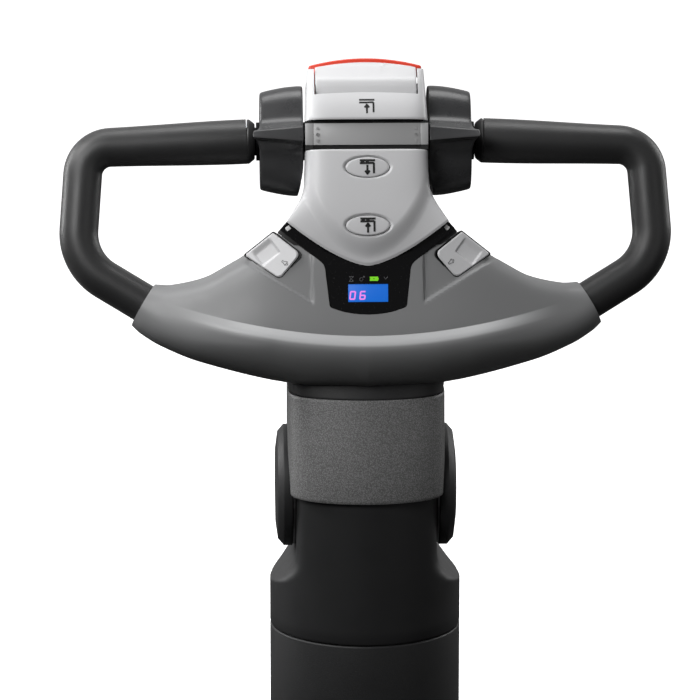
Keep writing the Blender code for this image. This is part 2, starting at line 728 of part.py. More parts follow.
def add_rocker(rocker):
    turns = [math.radians(a) for a in range(-18, 26, 4)]
    outer = [(-ROCKER_RADIUS * math.cos(a), ROCKER_RADIUS * math.sin(a)) for a in turns]
    inner = [(-41.5 * math.cos(a), 41.5 * math.sin(a)) for a in reversed(turns)]
    drum = placed(prism(outer + inner, -ROCKER_HALF, ROCKER_HALF), SIDEWAYS)
    drum = add("lift_rocker", drum, "band_grey", rocker)
    web = [(-42.5, -10), (-40.5, 14), (-12, 16), (-12, -16)]
    for side in (-1, 1):
        near, far = sorted((side * 33, side * 37))
        combine(drum, placed(prism(web, near, far), SIDEWAYS), "UNION")
        combine(drum, placed(rod(20, near, far, 24), SIDEWAYS), "UNION")
    combine(drum, placed(rod(SLEEVE_RADIUS + 0.5, -60, 60, 24), SIDEWAYS))


def add_belly_button(belly):
    half, low = 41.2, 50
    across = [half * k / 5 for k in range(-5, 6)]
    top = [(x, 58.9 - 5.6 * (x / half) ** 2) for x in reversed(across)]
    cap = placed(prism([(half, low), *top, (-half, low)], -24, 15), FACING)
    cap = add("belly_button", bevelled(cap, 1.1, 1), "signal_red", belly)
    combine(cap, face_block((-37, 37), (-15, 13), (31, low + 1)), "UNION")

    def place(s, t):
        up = 29.5 + 23.6 * t
        across = 36.6 * (2 * s - 1)
        out = curve_at([(29.5, 35), (36, 34.4), (44, 29.4), (53.1, 19.5)], up)
        return across, -(out - 0.8 * (2 * s - 1) ** 4), up

    thicken(add("belly_pad", sheet(8, 5, place), "shell_light", belly), 2.5)


def horn_axes(side):
    """The horn button's own frame: its face's two edges and the way it points."""
    out = Vector((side * math.sin(math.radians(13)), -math.cos(math.radians(13)), 0))
    along = Vector((-side * 0.735, 0, 0.678))
    along = (along - out * along.dot(out)).normalized()
    return along, out.cross(along), out


def horn_frame(side):
    along, cross, out = horn_axes(side)
    spot = Vector((side * 66.7, -fascia_surface(66.7, -88), -88.4)) * MM
    turn = Matrix((along, cross, out)).transposed().to_4x4()
    return Matrix.Translation(spot) @ turn


def horn_prism(side, grow, low, high):
    outline = rounded_rectangle(HORN_HALF[0] + grow, HORN_HALF[1] + grow, 3.5)
    return placed(prism(outline, low, high), horn_frame(side))


def add_buttons(face, parents):
    for name, height in (("lower", LOWER_HEIGHT), ("raise", RAISE_HEIGHT)):
        front = curve_at(POD_FRONT, height)
        button = placed(prism(ellipse(*KEY_HALF), front - 8, front + 0.5), FACING, (0, 0, height))
        add(f"{name}_button", button, "shell_light", parents[name])
        add(f"{name}_switch", face_block((-4, 4), (front - 15, front - 10.2), (height - 3, height + 3)),
            "soft_black", face)
    for name, side in (("left", -1), ("right", 1)):
        button = bevelled(horn_prism(side, 0, -7, 3), 0.8, 1)
        add(f"horn_button_{name}", button, "shell_light", parents[name])
        switch = placed(block((-4, 4), (-4, 4), (-16, -10.2)), horn_frame(side))
        add(f"horn_switch_{name}", switch, "soft_black", face)
    add("control_board", face_block((-34, 34), (31, 32.6), (-62, -20)), "board_green", face)


def main():
    clear_scene()
    steering = empty("steering", location=(0, 0, PIVOT_HEIGHT - SEAM_DROP))
    column = empty("column_top", steering, (0, 0, SEAM_DROP))
    tilt = empty("tilt", column)
    face = empty("head_face", tilt, (0, HEAD_SETBACK, HEAD_RISE), -FACE_LEAN)
    face.scale = (HEAD_SCALE, HEAD_SCALE, HEAD_SCALE)
    controls = {name: empty(f"{name}_axis", face) for name in
                ("throttle", "rocker", "belly", "lower", "raise", "left", "right")}
    add_base()
    add_column(column)
    add_neck(tilt)
    add_structure(face)
    add_handles(face)
    add_fascia(face)
    add_bezel(face)
    add_saddle(face)
    add_crown(face)
    add_pod_backs(face)
    add_throttle(controls["throttle"])
    add_rocker(controls["rocker"])
    add_belly_button(controls["belly"])
    add_buttons(face, controls)


main()
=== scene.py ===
"""Finish of a tiller control head: its covers, grips, keys, display and column.

Shapes are drawn in millimetres in the frame of the part that carries them, and add_piece puts
them in the world. On the head, x runs across, -y out of the face and z up the face, from the
throttle's axis. On the neck and the column, z is the height above the tilt pin, and -y points at
the operator.
"""

import json
import math

import bmesh
import bpy
from mathutils import Matrix, Vector


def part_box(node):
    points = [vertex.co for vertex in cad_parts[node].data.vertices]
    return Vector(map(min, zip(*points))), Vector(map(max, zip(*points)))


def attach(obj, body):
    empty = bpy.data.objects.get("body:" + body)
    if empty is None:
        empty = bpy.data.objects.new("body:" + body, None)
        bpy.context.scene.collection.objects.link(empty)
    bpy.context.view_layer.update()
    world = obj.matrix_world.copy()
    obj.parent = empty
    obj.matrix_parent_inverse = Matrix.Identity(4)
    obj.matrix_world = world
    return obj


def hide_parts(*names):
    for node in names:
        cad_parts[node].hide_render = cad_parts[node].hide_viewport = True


bl_info = {
    "name": "Tiller Control Head",
    "version": (1, 0, 0),
    "blender": (4, 5, 0),
    "location": "View3D > Sidebar > Tiller",
    "description": "Covers, grips, keys, display and column of a tiller control head",
    "category": "Object",
}

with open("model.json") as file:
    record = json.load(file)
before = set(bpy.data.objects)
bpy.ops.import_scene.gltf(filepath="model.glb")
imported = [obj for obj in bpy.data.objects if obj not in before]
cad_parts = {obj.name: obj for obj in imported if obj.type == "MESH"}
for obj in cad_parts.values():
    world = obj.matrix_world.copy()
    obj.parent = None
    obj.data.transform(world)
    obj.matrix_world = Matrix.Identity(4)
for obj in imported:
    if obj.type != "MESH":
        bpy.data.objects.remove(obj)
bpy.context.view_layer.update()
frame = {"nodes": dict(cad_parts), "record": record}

MM = 0.001
JOINTS = {joint["name"]: joint for joint in frame["record"]["behaviour"]["joints"]}
PIVOT = Vector(JOINTS["neck_tilt"]["pos_m"])
THROTTLE_AXIS = Vector(JOINTS["throttle_turn"]["pos_m"])
UP_FACE = -Vector(JOINTS["belly_push"]["axis"])
LEAN = math.atan2(UP_FACE.y, UP_FACE.z)
SCALE = Matrix.Scale(MM, 4)
# Half the cross bar as it is drawn, against its real half, gives the size of the whole head
BAR_HALF = 93
HEAD_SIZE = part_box("cross_bar")[1][0] / MM / BAR_HALF
HEAD_SCALE = Matrix.Scale(HEAD_SIZE * MM, 4)
HEAD = Matrix.Translation(THROTTLE_AXIS) @ Matrix.Rotation(-LEAN, 4, "X") @ HEAD_SCALE
NECK = Matrix.Translation(PIVOT) @ SCALE
FOOT = SCALE
SIDES = (("left", -1), ("right", 1))


def node_size(node):
    """How long a node's box is along x, y and z, in millimetres."""
    low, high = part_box(node)
    return [(b - a) / MM for a, b in zip(low, high)]


# Column, neck and ears
COLUMN_RADIUS = node_size("column_lower_cover")[0] / 2
SEAM_LOW = (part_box("column_lower_cover")[1][2] - PIVOT.z) / MM
SEAM_HIGH = (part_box("column_upper_cover")[0][2] - PIVOT.z) / MM
COLUMN_FOOT = (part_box("column_lower_cover")[0][2] - PIVOT.z) / MM
COLUMN_TOP = (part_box("column_upper_cover")[1][2] - PIVOT.z) / MM
SHOULDER = -69.0
TONGUE_HALF = 50.5
NECK_HALF = node_size("neck_housing")[0] / 2
NECK_LOW = 3.5
NECK_HIGH = 76.0
COLLAR_HIGH = 92.0
NECK_POWER = 7
NECK_BULGE = 0.24
EAR_RADIUS = node_size("pivot_cover_left")[1] / 2
EAR_NEAR = 52.8
EAR_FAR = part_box("pivot_cover_right")[1][0] / MM
BOLT_CIRCLE = 79

# Head
POD_HALF = 44.5
POD_SPLIT = 16.0
POD_POWER = 7
BACK_POWER = 4.5
SPINE_FOOT = -169.6
SADDLE_TOP = -12.4
SADDLE_CORNER = -64.0
SADDLE_TIP = -96.0
TONGUE_DROP = 65.7
LOWER_HEIGHT = -25.5
RAISE_HEIGHT = -67.7
KEY_HALF = (15.8, 7.2)
HORN_FACE = -0.8
HORN_CORNERS = ((-0.9, 16.7), (-22.0, 1.0), (3.7, -16.8), (19.3, 0.7))
CROWN_LOW = 9.5
CROWN_PANEL_TOP = 28.8
CROWN_TOP = 49.6
PAD_HALF = 36.6
ROCKER_RADIUS = 43.3
ROCKER_HALF = 38.4
BAND_SPAN = (-11.4, 9.7)
FASCIA_TOP_HALF = 153.3
FASCIA_LOW_HALF = 170.7
BACK_START = 0.385
LIP_ROW = 0.6
LIP_REACH = 6.0
CREASE_MIDDLE = -146.6
CREASE_RISE = 12.6 / 99 ** 2

# The facet beside a horn key: a point of its upper edge, the way that edge faces, where its inner
# edge runs, how deep it is and how wide its slope
FACET_POINT = (89.6, -93)
FACET_WAY = (-0.523, 0.853)
FACET_INNER = 39.2
FACET_DEPTH = 2.0
FACET_SLOPE = 2.2
HORN_SPOT = (67.5, -87.9)
LCD_HEIGHT = -115.6
SIGN_HEIGHT = -105.4

# Throttle and handles
SLEEVE_RADIUS = 14.0
WING_INNER = 45.4
GRIP_START = 86.3
GRIP_RADIUS_WIDE = 16.3
GRIP_RADIUS_SLIM = 14.2
CORE_RADIUS = 10.3

# Height up the face against how far the pod's front stands out
POD_FRONT = [(-96, 47), (-70, 50), (-40, 50), (-12, 48.8), (9.5, 47.2), (19, 45), (28, 41),
             (40, 34), (50, 25.5)]
# Half length along the fascia against the height of its upper edge, of its lower edge, and its depth
FASCIA_UPPER = [(0, -66), (45, -66), (60, -64), (67.4, -69), (88, -83), (102.6, -91.8),
                (117.8, -99.6), (141.7, -104.7), (153.3, -104.3)]
FASCIA_LOWER = [(0, -181), (57.6, -176.5), (120.7, -161.1), (150, -149), (165, -139.5),
                (170.7, -134)]
FASCIA_DEPTH = [(0, 42), (40, 41.5), (70, 39.5), (95, 34.5), (125, 26), (145, 19.5), (153.3, 17.2)]


# ---------------------------------------------------------------- settings


def colour_setting(name, description, default):
    return bpy.props.FloatVectorProperty(name=name, description=description, default=default,
                                         size=3, min=0, max=1, subtype="COLOR")


def length_setting(name, description, default, most):
    return bpy.props.FloatProperty(name=name, description=description, default=default, min=0,
                                   max=most, subtype="DISTANCE", unit="LENGTH")


class TillerColours(bpy.types.PropertyGroup):
    """Colours of the mouldings."""

    light: colour_setting("Light shells", "Saddle, crown and keys", (0.63, 0.63, 0.64))
    fascia: colour_setting("Fascia", "Shell under the hands", (0.235, 0.237, 0.24))
    band: colour_setting("Band", "Lift rocker between the saddle and the crown", (0.4, 0.4, 0.402))
    dark: colour_setting("Dark covers", "Column, collar, wings and backs", (0.022, 0.0222, 0.023))
    neck: colour_setting("Neck", "Grained neck shroud", (0.21, 0.21, 0.21))
    grip: colour_setting("Grips", "Over-moulding of the handles", (0.026, 0.026, 0.0265))
    button: colour_setting("Belly button", "Safety button on top", (0.72, 0.055, 0.025))
    screen: colour_setting("Screen", "Lit window of the display", (0.005, 0.135, 0.62))
    digits: colour_setting("Digits", "Lit segments of the display", (0.78, 0.22, 0.72))
    charge: colour_setting("Charge lamp", "Battery sign of the display", (0.16, 0.55, 0.01))


class TillerSizes(bpy.types.PropertyGroup):
    """Sizes of the mouldings' finish."""

    wall: length_setting("Wall", "Thickness of the pod's shells", 2.4 * MM, 5 * MM)
    edge: length_setting("Edge", "Radius of a shell's rim", 0.5 * MM, 2 * MM)
    ring: length_setting("Key ring", "Width of the bevelled ring round a key", 2.0 * MM, 4 * MM)
    print_height: length_setting("Print", "Thickness of the printed signs", 0.12 * MM, 1 * MM)
    grain: length_setting("Neck grain", "Depth of the neck's grain", 0.28 * MM, 1 * MM)


# ---------------------------------------------------------------- shaders


class Value:
    """A shader socket. Operators on it add Math nodes to its tree."""

    def __init__(self, shader, socket):
        self.shader = shader
        self.socket = socket

    def maths(self, operation, *values):
        node = self.shader.node("ShaderNodeMath", {"operation": operation}, *values)
        return Value(self.shader, node.outputs[0])

    def __add__(self, other):
        return self.maths("ADD", self, other)

    def __sub__(self, other):
        return self.maths("SUBTRACT", self, other)

    def __rsub__(self, other):
        return self.maths("SUBTRACT", other, self)

    def __mul__(self, other):
        return self.maths("MULTIPLY", self, other)

    def above(self, edge, width):
        """0 below the edge and 1 above it, with a soft step of that width."""
        node = self.shader.node("ShaderNodeMapRange", {"interpolation_type": "SMOOTHSTEP"}, self,
                                edge - width / 2, edge + width / 2)
        return Value(self.shader, node.outputs[0])

    __radd__ = __add__
    __rmul__ = __mul__


class Shader:
    """A node tree that is built by calls."""

    def __init__(self, tree):
        self.tree = tree

    def node(self, kind, settings=None, *values, **named):
        """A node of that type. Its settings come first, then the values or links of its sockets."""
        node = self.tree.nodes.new(kind)
        for key, setting in (settings or {}).items():
            setattr(node, key, setting)
        for key, value in [*enumerate(values), *named.items()]:
            socket = node.inputs[key if isinstance(key, int) else key.replace("_", " ")]
            if isinstance(value, Value):
                self.tree.links.new(value.socket, socket)
            else:
                socket.default_value = value
        return node

    def noise(self, scale, detail=2.0, roughness=0.5):
        """Smooth noise on Object coordinates, whose scale is in waves to the metre."""
        place = Value(self, self.node("ShaderNodeTexCoord").outputs["Object"])
        node = self.node("ShaderNodeTexNoise", {"noise_dimensions": "3D"}, Vector=place,
                         Scale=scale, Detail=detail, Roughness=roughness)
        return Value(self, node.outputs[0])

    def blend(self, factor, first, second):
        """A colour between two, by a factor."""
        node = self.node("ShaderNodeMix", {"data_type": "RGBA"}, Factor=factor)
        for socket, colour in ((node.inputs[6], first), (node.inputs[7], second)):
            if isinstance(colour, Value):
                self.tree.links.new(colour.socket, socket)
            else:
                socket.default_value = (*colour, 1)
        return Value(self, node.outputs[2])

    def bump(self, height, depth):
        """A normal from a height of 0 to 1 that stands for that many metres."""
        node = self.node("ShaderNodeBump", None, Strength=1.0, Distance=depth, Height=height)
        return Value(self, node.outputs[0])


MADE = {}
STREAK = (60, 60, 2400)
STREAK_DEPTH = 0.00002


def new_material(name, colour, roughness, metallic=0.0):
    """A material, its shader and its Principled node, with its plain values set."""
    material = MADE[name] = bpy.data.materials.new(name)
    material.use_nodes = True
    material.diffuse_color = (*colour, 1)
    principled = material.node_tree.nodes["Principled BSDF"]
    principled.inputs["Base Color"].default_value = (*colour, 1)
    principled.inputs["Roughness"].default_value = roughness
    principled.inputs["Metallic"].default_value = metallic
    return material, Shader(material.node_tree), principled


def link(shader, principled, **values):
    for name, value in values.items():
        shader.tree.links.new(value.socket, principled.inputs[name.replace("_", " ")])


def tinted(colour, factor):
    return [min(1, channel * factor) for channel in colour]


def moulded(name, colour, roughness, grain=0.00003, size=2600, wear=0.05, specular=0.5):
    """Moulded plastic: a fine grain, faint cloudiness in its colour and a few rubbed patches."""
    material, shader, principled = new_material(name, colour, roughness)
    principled.inputs["Specular IOR Level"].default_value = specular
    clouds = shader.noise(11, 3)
    fine = shader.noise(size, 2, 0.6)
    rubbed = shader.noise(34, 4, 0.7).above(0.56, 0.25)
    shade = shader.blend(clouds * 0.7 + fine * 0.3, tinted(colour, 0.93), tinted(colour, 1.07))
    link(shader, principled, Base_Color=shade, Normal=shader.bump(fine, grain),
         Roughness=roughness + fine * 0.06 + rubbed * -wear + (clouds - 0.5) * 0.06)
    return material


def creased(name, colour):
    """The fascia's plastic, with a painted highlight: under its crease lies a lighter band, where
    the lip faces up into the light, that fades to both sides.
    """
    principled = moulded(name, colour, 0.42, grain=0.00002).node_tree.nodes["Principled BSDF"]
    plain = principled.inputs["Base Color"].links[0].from_socket
    shader = Shader(MADE[name].node_tree)
    place = Value(shader, shader.node("ShaderNodeTexCoord").outputs["Object"])
    axes = shader.node("ShaderNodeSeparateXYZ", None, place).outputs
    x, y, z = (Value(shader, socket) for socket in axes)
    unit = 1 / (MM * HEAD_SIZE)
    up = (y - THROTTLE_AXIS.y) * (UP_FACE.y * unit) + (z - THROTTLE_AXIS.z) * (UP_FACE.z * unit)
    across = x * unit
    drop = CREASE_MIDDLE + across * across * CREASE_RISE - up
    # Painted highlight: the band just under the crease is lightened, and it fades out towards both
    # ends
    strip = drop.above(0.2, 0.5) * (1 - drop.above(8, 2.5))
    strip = strip * (1 - (across * across).above(13000, 14000))
    shade = shader.blend(strip, Value(shader, plain), tinted(colour, 1.85))
    link(shader, principled, Base_Color=shade)


def leathered(name, colour, depth):
    """Coarse grained moulding: pebbles with polished tops between rough hollows, with painted
    highlight on the pebble tops and painted shade in the hollows.
    """
    material, shader, principled = new_material(name, colour, 0.5)
    place = Value(shader, shader.node("ShaderNodeTexCoord").outputs["Object"])
    cells = shader.node("ShaderNodeTexVoronoi", {"feature": "SMOOTH_F1"}, Vector=place,
                        Scale=1150.0, Smoothness=0.6)
    pebble = Value(shader, cells.outputs["Distance"])
    coarse = shader.noise(1600, 3, 0.65)
    relief = coarse * 0.65 + (1 - pebble) * 0.45
    # Painted light: the colour follows the relief, lighter on the raised pebbles and darker in the
    # hollows
    shade = shader.blend(relief.above(0.62, 0.35), tinted(colour, 0.6), tinted(colour, 1.45))
    link(shader, principled, Base_Color=shade, Normal=shader.bump(relief, depth),
         Roughness=0.42 - relief.above(0.66, 0.3) * 0.14)
    return material


def soft_touch(name, colour):
    """Soft over-moulding: a fine leathery grain that hands have polished here and there."""
    material, shader, principled = new_material(name, colour, 0.46)
    principled.inputs["Sheen Weight"].default_value = 0.12
    principled.inputs["Sheen Roughness"].default_value = 0.4
    fine = shader.noise(1500, 3, 0.6)
    handled = shader.noise(26, 3, 0.6).above(0.52, 0.3)
    shade = shader.blend(fine, tinted(colour, 0.8), tinted(colour, 1.25))
    link(shader, principled, Base_Color=shade, Normal=shader.bump(fine, 0.00009),
         Roughness=0.42 - handled * 0.07 + fine * 0.05)
    return material


def glossed(name, colour, roughness=0.08, dust=0.06):
    """Polished plastic under a clear coat, with faint dust and wiping marks."""
    material, shader, principled = new_material(name, colour, roughness)
    principled.inputs["Coat Roughness"].default_value = 0.04
    principled.inputs["Coat Weight"].default_value = 0.6
    specks = shader.noise(900, 2, 0.7).above(0.69, 0.06)
    wiped = shader.noise(60, 4, 0.6)
    link(shader, principled, Base_Color=shader.blend(specks * dust, colour, (0.4, 0.4, 0.4)),
         Roughness=roughness + wiped * 0.05 + specks * 0.2)
    return material


def lit(name, colour, strength):
    """A lit window whose brightness falls away a little towards one side."""
    material, shader, principled = new_material(name, tinted(colour, 0.35), 0.5)
    principled.inputs["Emission Strength"].default_value = strength
    wash = shader.noise(45, 2)
    dots = shader.noise(3200, 1)
    glow = shader.blend(wash * 0.7 + dots * 0.3, tinted(colour, 0.82), tinted(colour, 1.1))
    link(shader, principled, Emission_Color=glow)
    return material


def metal(name, colour, roughness):
    """Metal with the fine streaks that turning or brushing leaves."""
    material, shader, principled = new_material(name, colour, roughness, 1.0)
    place = Value(shader, shader.node("ShaderNodeTexCoord").outputs["Object"])
    stretched = shader.node("ShaderNodeMapping", None, Vector=place, Scale=STREAK)
    lines = shader.node("ShaderNodeTexNoise", None, Vector=Value(shader, stretched.outputs[0]),
                        Scale=1.0, Detail=3.0)
    lines = Value(shader, lines.outputs[0])
    patches = shader.noise(40, 3)
    link(shader, principled, Normal=shader.bump(lines, STREAK_DEPTH),
         Base_Color=shader.blend(patches, tinted(colour, 0.86), tinted(colour, 1.08)),
         Roughness=roughness + lines * 0.12 + (patches - 0.5) * 0.1)
    return material


def cast(name, colour):
    """Sand-cast metal: pitted and dull."""
    material, shader, principled = new_material(name, colour, 0.55, 1.0)
    pits = shader.noise(750, 4, 0.65)
    link(shader, principled, Normal=shader.bump(pits, 0.00018),
         Base_Color=shader.blend(pits, tinted(colour, 0.75), tinted(colour, 1.1)),
         Roughness=0.42 + pits * 0.25)
    return material


def finishes():
    """Every finish by its name, made once."""
    if MADE:
        return MADE
    colours, sizes = bpy.context.scene.tiller_colours, bpy.context.scene.tiller_sizes
    moulded("shell_light", colours.light, 0.36, wear=0.04)
    creased("shell_mid", colours.fascia)
    moulded("horn_grey", tinted(colours.light, 1.1), 0.34)
    moulded("band_grey", colours.band, 0.34)
    moulded("shell_dark", colours.dark, 0.44)
    moulded("shell_wing", tinted(colours.dark, 2.0), 0.28, grain=0.000012)
    leathered("shell_grained", colours.neck, sizes.grain)
    moulded("shell_speckled", colours.dark, 0.5, grain=0.00012, size=1100)
    soft_touch("soft_black", colours.grip)
    glossed("gloss_black", (0.0045, 0.0045, 0.005))
    moulded("signal_red", colours.button, 0.3, specular=0.6)
    lit("display_blue", colours.screen, 0.85)
    lit("display_digits", colours.digits, 1.0)
    lit("display_charge", colours.charge, 1.0)
    moulded("display_ghost", (0.09, 0.09, 0.095), 0.4)
    # print_black is the black of the printed signs, and also of the fillers behind gaps, where it
    # stands in for shade
    moulded("print_black", (0.006, 0.006, 0.006), 0.5)
    glossed("lens_white", (0.75, 0.75, 0.75), 0.12, dust=0.0)
    moulded("board_green", (0.006, 0.028, 0.012), 0.35)
    cast("cast_aluminium", (0.48, 0.48, 0.49))
    metal("bright_steel", (0.5, 0.5, 0.51), 0.28)
    metal("black_steel", (0.012, 0.012, 0.013), 0.45)
    metal("bronze", (0.5, 0.3, 0.12), 0.34)
    return MADE


# ---------------------------------------------------------------- curves


def curve_at(points, x):
    """The height at x of a smooth curve through points, which are listed from left to right."""
    if x <= points[0][0]:
        return points[0][1]
    for i in range(len(points) - 1):
        (x0, y0), (x1, y1) = points[i], points[i + 1]
        if x > x1:
            continue
        before, after = points[max(i - 1, 0)], points[min(i + 2, len(points) - 1)]
        slope0 = (y1 - before[1]) / (x1 - before[0])
        slope1 = (after[1] - y0) / (after[0] - x0)
        run, t = x1 - x0, (x - x0) / (x1 - x0)
        start = y0 * (1 + 2 * t) * (1 - t) ** 2 + slope0 * run * t * (1 - t) ** 2
        return start + y1 * t * t * (3 - 2 * t) + slope1 * run * t * t * (t - 1)
    return points[-1][1]


def squared(angle, power):
    """A point on a unit superellipse: round at power 2, boxier above it."""
    c, s = round(math.cos(angle), 9), round(math.sin(angle), 9)
    reach = (abs(c) ** power + abs(s) ** power) ** (-1 / power)
    return c * reach, s * reach


def step(x, low, high):
    """0 up to low and 1 from high, smooth between."""
    t = min(1, max(0, (x - low) / (high - low)))
    return t * t * (3 - 2 * t)


def soft_limit(x, most, blend):
    """x, kept under most, with a round corner of that size where it meets it."""
    h = max(0.0, blend - abs(x - most)) / blend
    return min(x, most) - h * h * blend / 4


def filleted(corners, radii, steps):
    """A flat route through corners, each turned in an arc of its radius. The ends have none."""
    route = [Vector(corners[0])]
    for i in range(1, len(corners) - 1):
        corner = Vector(corners[i])
        back = (Vector(corners[i - 1]) - corner).normalized()
        ahead = (Vector(corners[i + 1]) - corner).normalized()
        half = back.angle(ahead) / 2
        reach = radii[i - 1] / math.tan(half)
        centre = corner + (back + ahead).normalized() * (radii[i - 1] / math.sin(half))
        first, last = corner + back * reach - centre, corner + ahead * reach - centre
        sweep = first.angle_signed(last)
        for k in range(steps + 1):
            turn = -sweep * k / steps
            c, s = math.cos(turn), math.sin(turn)
            route.append(centre + Vector((c * first.x - s * first.y, s * first.x + c * first.y)))
    route.append(Vector(corners[-1]))
    return route


def stations(route, start, spacing):
    """Points along a route at about even steps, from a distance along it, with the bends kept."""
    kept, travelled = [], 0.0
    for before, after in zip(route, route[1:]):
        length = (after - before).length
        pieces = max(1, round(length / spacing))
        for k in range(pieces):
            if travelled + length * k / pieces >= start:
                kept.append(before.lerp(after, k / pieces))
        travelled += length
    return [*kept, route[-1]]


def arc(centre, radius, first, last, steps):
    """Points of an arc between two angles in degrees."""
    turns = [math.radians(first + (last - first) * k / steps) for k in range(steps + 1)]
    return [(centre[0] + radius * math.cos(a), centre[1] + radius * math.sin(a)) for a in turns]


def rounded_rectangle(half_x, half_y, radius, steps=8):
    outline = []
    for quarter, (sx, sy) in enumerate(((1, 1), (-1, 1), (-1, -1), (1, -1))):
        centre = sx * (half_x - radius), sy * (half_y - radius)
        outline += arc(centre, radius, 90 * quarter, 90 * quarter + 90, steps)
    return outline


def ellipse(half_x, half_y):
    steps = 64
    return [(half_x * x, half_y * y) for x, y in arc((0, 0), 1, 0, 360 - 360 / steps, steps - 1)]


# ---------------------------------------------------------------- meshes

FACING = Matrix.Rotation(math.pi / 2, 4, "X")
SIDEWAYS = Matrix(((0, 0, 1, 0), (1, 0, 0, 0), (0, 1, 0, 0), (0, 0, 0, 1)))
LEFTWARDS = Matrix.Rotation(math.pi, 4, "Z") @ SIDEWAYS
SHARP_EDGE = 50


def grid(columns, rows, place):
    """An open sheet that faces away from the z axis. place(s, t) gives a point for s and t
    from 0 to 1."""
    bm = bmesh.new()
    bmesh.ops.create_grid(bm, x_segments=columns, y_segments=rows, size=1)
    for vert in bm.verts:
        vert.co = Vector(place((vert.co.x + 1) / 2, (vert.co.y + 1) / 2))
    bmesh.ops.remove_doubles(bm, verts=bm.verts, dist=1e-4)
    bmesh.ops.recalc_face_normals(bm, faces=bm.faces)
    return turn_outwards(bm)


def face_outwards(bm):
    """Faces a closed solid outwards."""
    bmesh.ops.recalc_face_normals(bm, faces=bm.faces)
    if bm.calc_volume(signed=True) < 0:
        bmesh.ops.reverse_faces(bm, faces=bm.faces)
    return bm


def loft(sides, rows, place):
    """A solid whose sections are rings: s goes round a section and t along the solid."""
    bm = grid(sides, rows, place)
    bmesh.ops.holes_fill(bm, edges=bm.edges, sides=0)
    return face_outwards(bm)


def turned(profile, steps, ring=False):
    """A turned piece about Z. A ring's profile closes on itself, and any other ends on the axis."""
    bm = bmesh.new()
    verts = [bm.verts.new((radius, 0, height)) for radius, height in profile]
    edges = [bm.edges.new(pair) for pair in zip(verts, verts[1:])]
    if ring:
        edges.append(bm.edges.new((verts[-1], verts[0])))
    bmesh.ops.spin(bm, geom=verts + edges, axis=(0, 0, 1), cent=(0, 0, 0), angle=2 * math.pi,
                   steps=steps, use_merge=True)
    bmesh.ops.remove_doubles(bm, verts=bm.verts, dist=1e-4)
    return face_outwards(bm)


def prism(outline, low, high):
    """An outline in the XY plane, carried along Z from low to high."""
    bm = bmesh.new()
    face = bm.faces.new([bm.verts.new((x, y, low)) for x, y in outline])
    made = bmesh.ops.extrude_face_region(bm, geom=[face])["geom"]
    verts = [item for item in made if isinstance(item, bmesh.types.BMVert)]
    bmesh.ops.translate(bm, verts=verts, vec=(0, 0, high - low))
    return face_outwards(bm)


def block(x, y, z):
    """A box between the two values of each axis."""
    bm = bmesh.new()
    bmesh.ops.create_cube(bm, size=1)
    for vert in bm.verts:
        vert.co = Vector([(lo + hi) / 2 + side * (hi - lo) for side,
                          (lo, hi) in zip(vert.co, (x, y, z))])
    return bm


def moved(bm, matrix=Matrix(), offset=(0, 0, 0)):
    bmesh.ops.transform(bm, matrix=Matrix.Translation(offset) @ matrix, verts=bm.verts)
    return bm


def bevelled(bm, width, segments=3, least=30):
    """Rounds every edge that turns by more than the least angle, in degrees."""
    edges = [edge for edge in bm.edges if len(edge.link_faces) == 2
             and edge.calc_face_angle() > math.radians(least)]
    bmesh.ops.bevel(bm, geom=edges, offset=width, segments=segments, affect="EDGES", profile=0.5,
                    material=-1, clamp_overlap=True)
    return bm


def joined(parts):
    """Several shapes as one mesh, each still closed by itself."""
    whole = bmesh.new()
    for part in parts:
        mesh = bpy.data.meshes.new("part")
        part.to_mesh(mesh)
        part.free()
        whole.from_mesh(mesh)
        bpy.data.meshes.remove(mesh)
    return whole


def new_object(name, bm):
    mesh = bpy.data.meshes.new(name)
    bm.to_mesh(mesh)
    bm.free()
    obj = bpy.data.objects.new(name, mesh)
    bpy.context.scene.collection.objects.link(obj)
    return obj


def turn_outwards(bm):
    """Faces a sheet that stands round the z axis away from it."""
    middle = Vector((0, 0, sum(vert.co.z for vert in bm.verts) / len(bm.verts)))
    flux = sum(face.normal.dot(face.calc_center_median() - middle) * face.calc_area()
               for face in bm.faces)
    if flux < 0:
        bmesh.ops.reverse_faces(bm, faces=bm.faces)
    return bm


def turn_upwards(bm):
    """Faces a sheet along +Z."""
    if sum(face.normal.z * face.calc_area() for face in bm.faces) < 0:
        bmesh.ops.reverse_faces(bm, faces=bm.faces)
    return bm


def shaped(bm, wall=0.0, cutters=(), keep=None, edge=0.0):
    """Gives a sheet its wall, cuts shapes out, keeps what is in one and rounds sharp edges."""
    obj = new_object("blank", bm)
    tools = [(new_object("cutter", cutter), "DIFFERENCE") for cutter in cutters]
    if keep:
        tools.append((new_object("cutter", keep), "INTERSECT"))
    if wall:
        modifier = obj.modifiers.new("wall", "SOLIDIFY")
        modifier.thickness = wall
        modifier.offset = -1
    for tool, operation in tools:
        modifier = obj.modifiers.new("cut", "BOOLEAN")
        modifier.operation = operation
        modifier.solver = "EXACT"
        modifier.object = tool
    if edge:
        modifier = obj.modifiers.new("edge", "BEVEL")
        modifier.width = edge
        modifier.segments = 2
        modifier.limit_method = "ANGLE"
        modifier.angle_limit = math.radians(SHARP_EDGE)
    graph = bpy.context.evaluated_depsgraph_get()
    evaluated = obj.evaluated_get(graph)
    result = bmesh.new()
    result.from_mesh(evaluated.to_mesh())
    evaluated.to_mesh_clear()
    for made in (obj, *[tool for tool, _ in tools]):
        mesh = made.data
        bpy.data.objects.remove(made)
        bpy.data.meshes.remove(mesh)
    return result


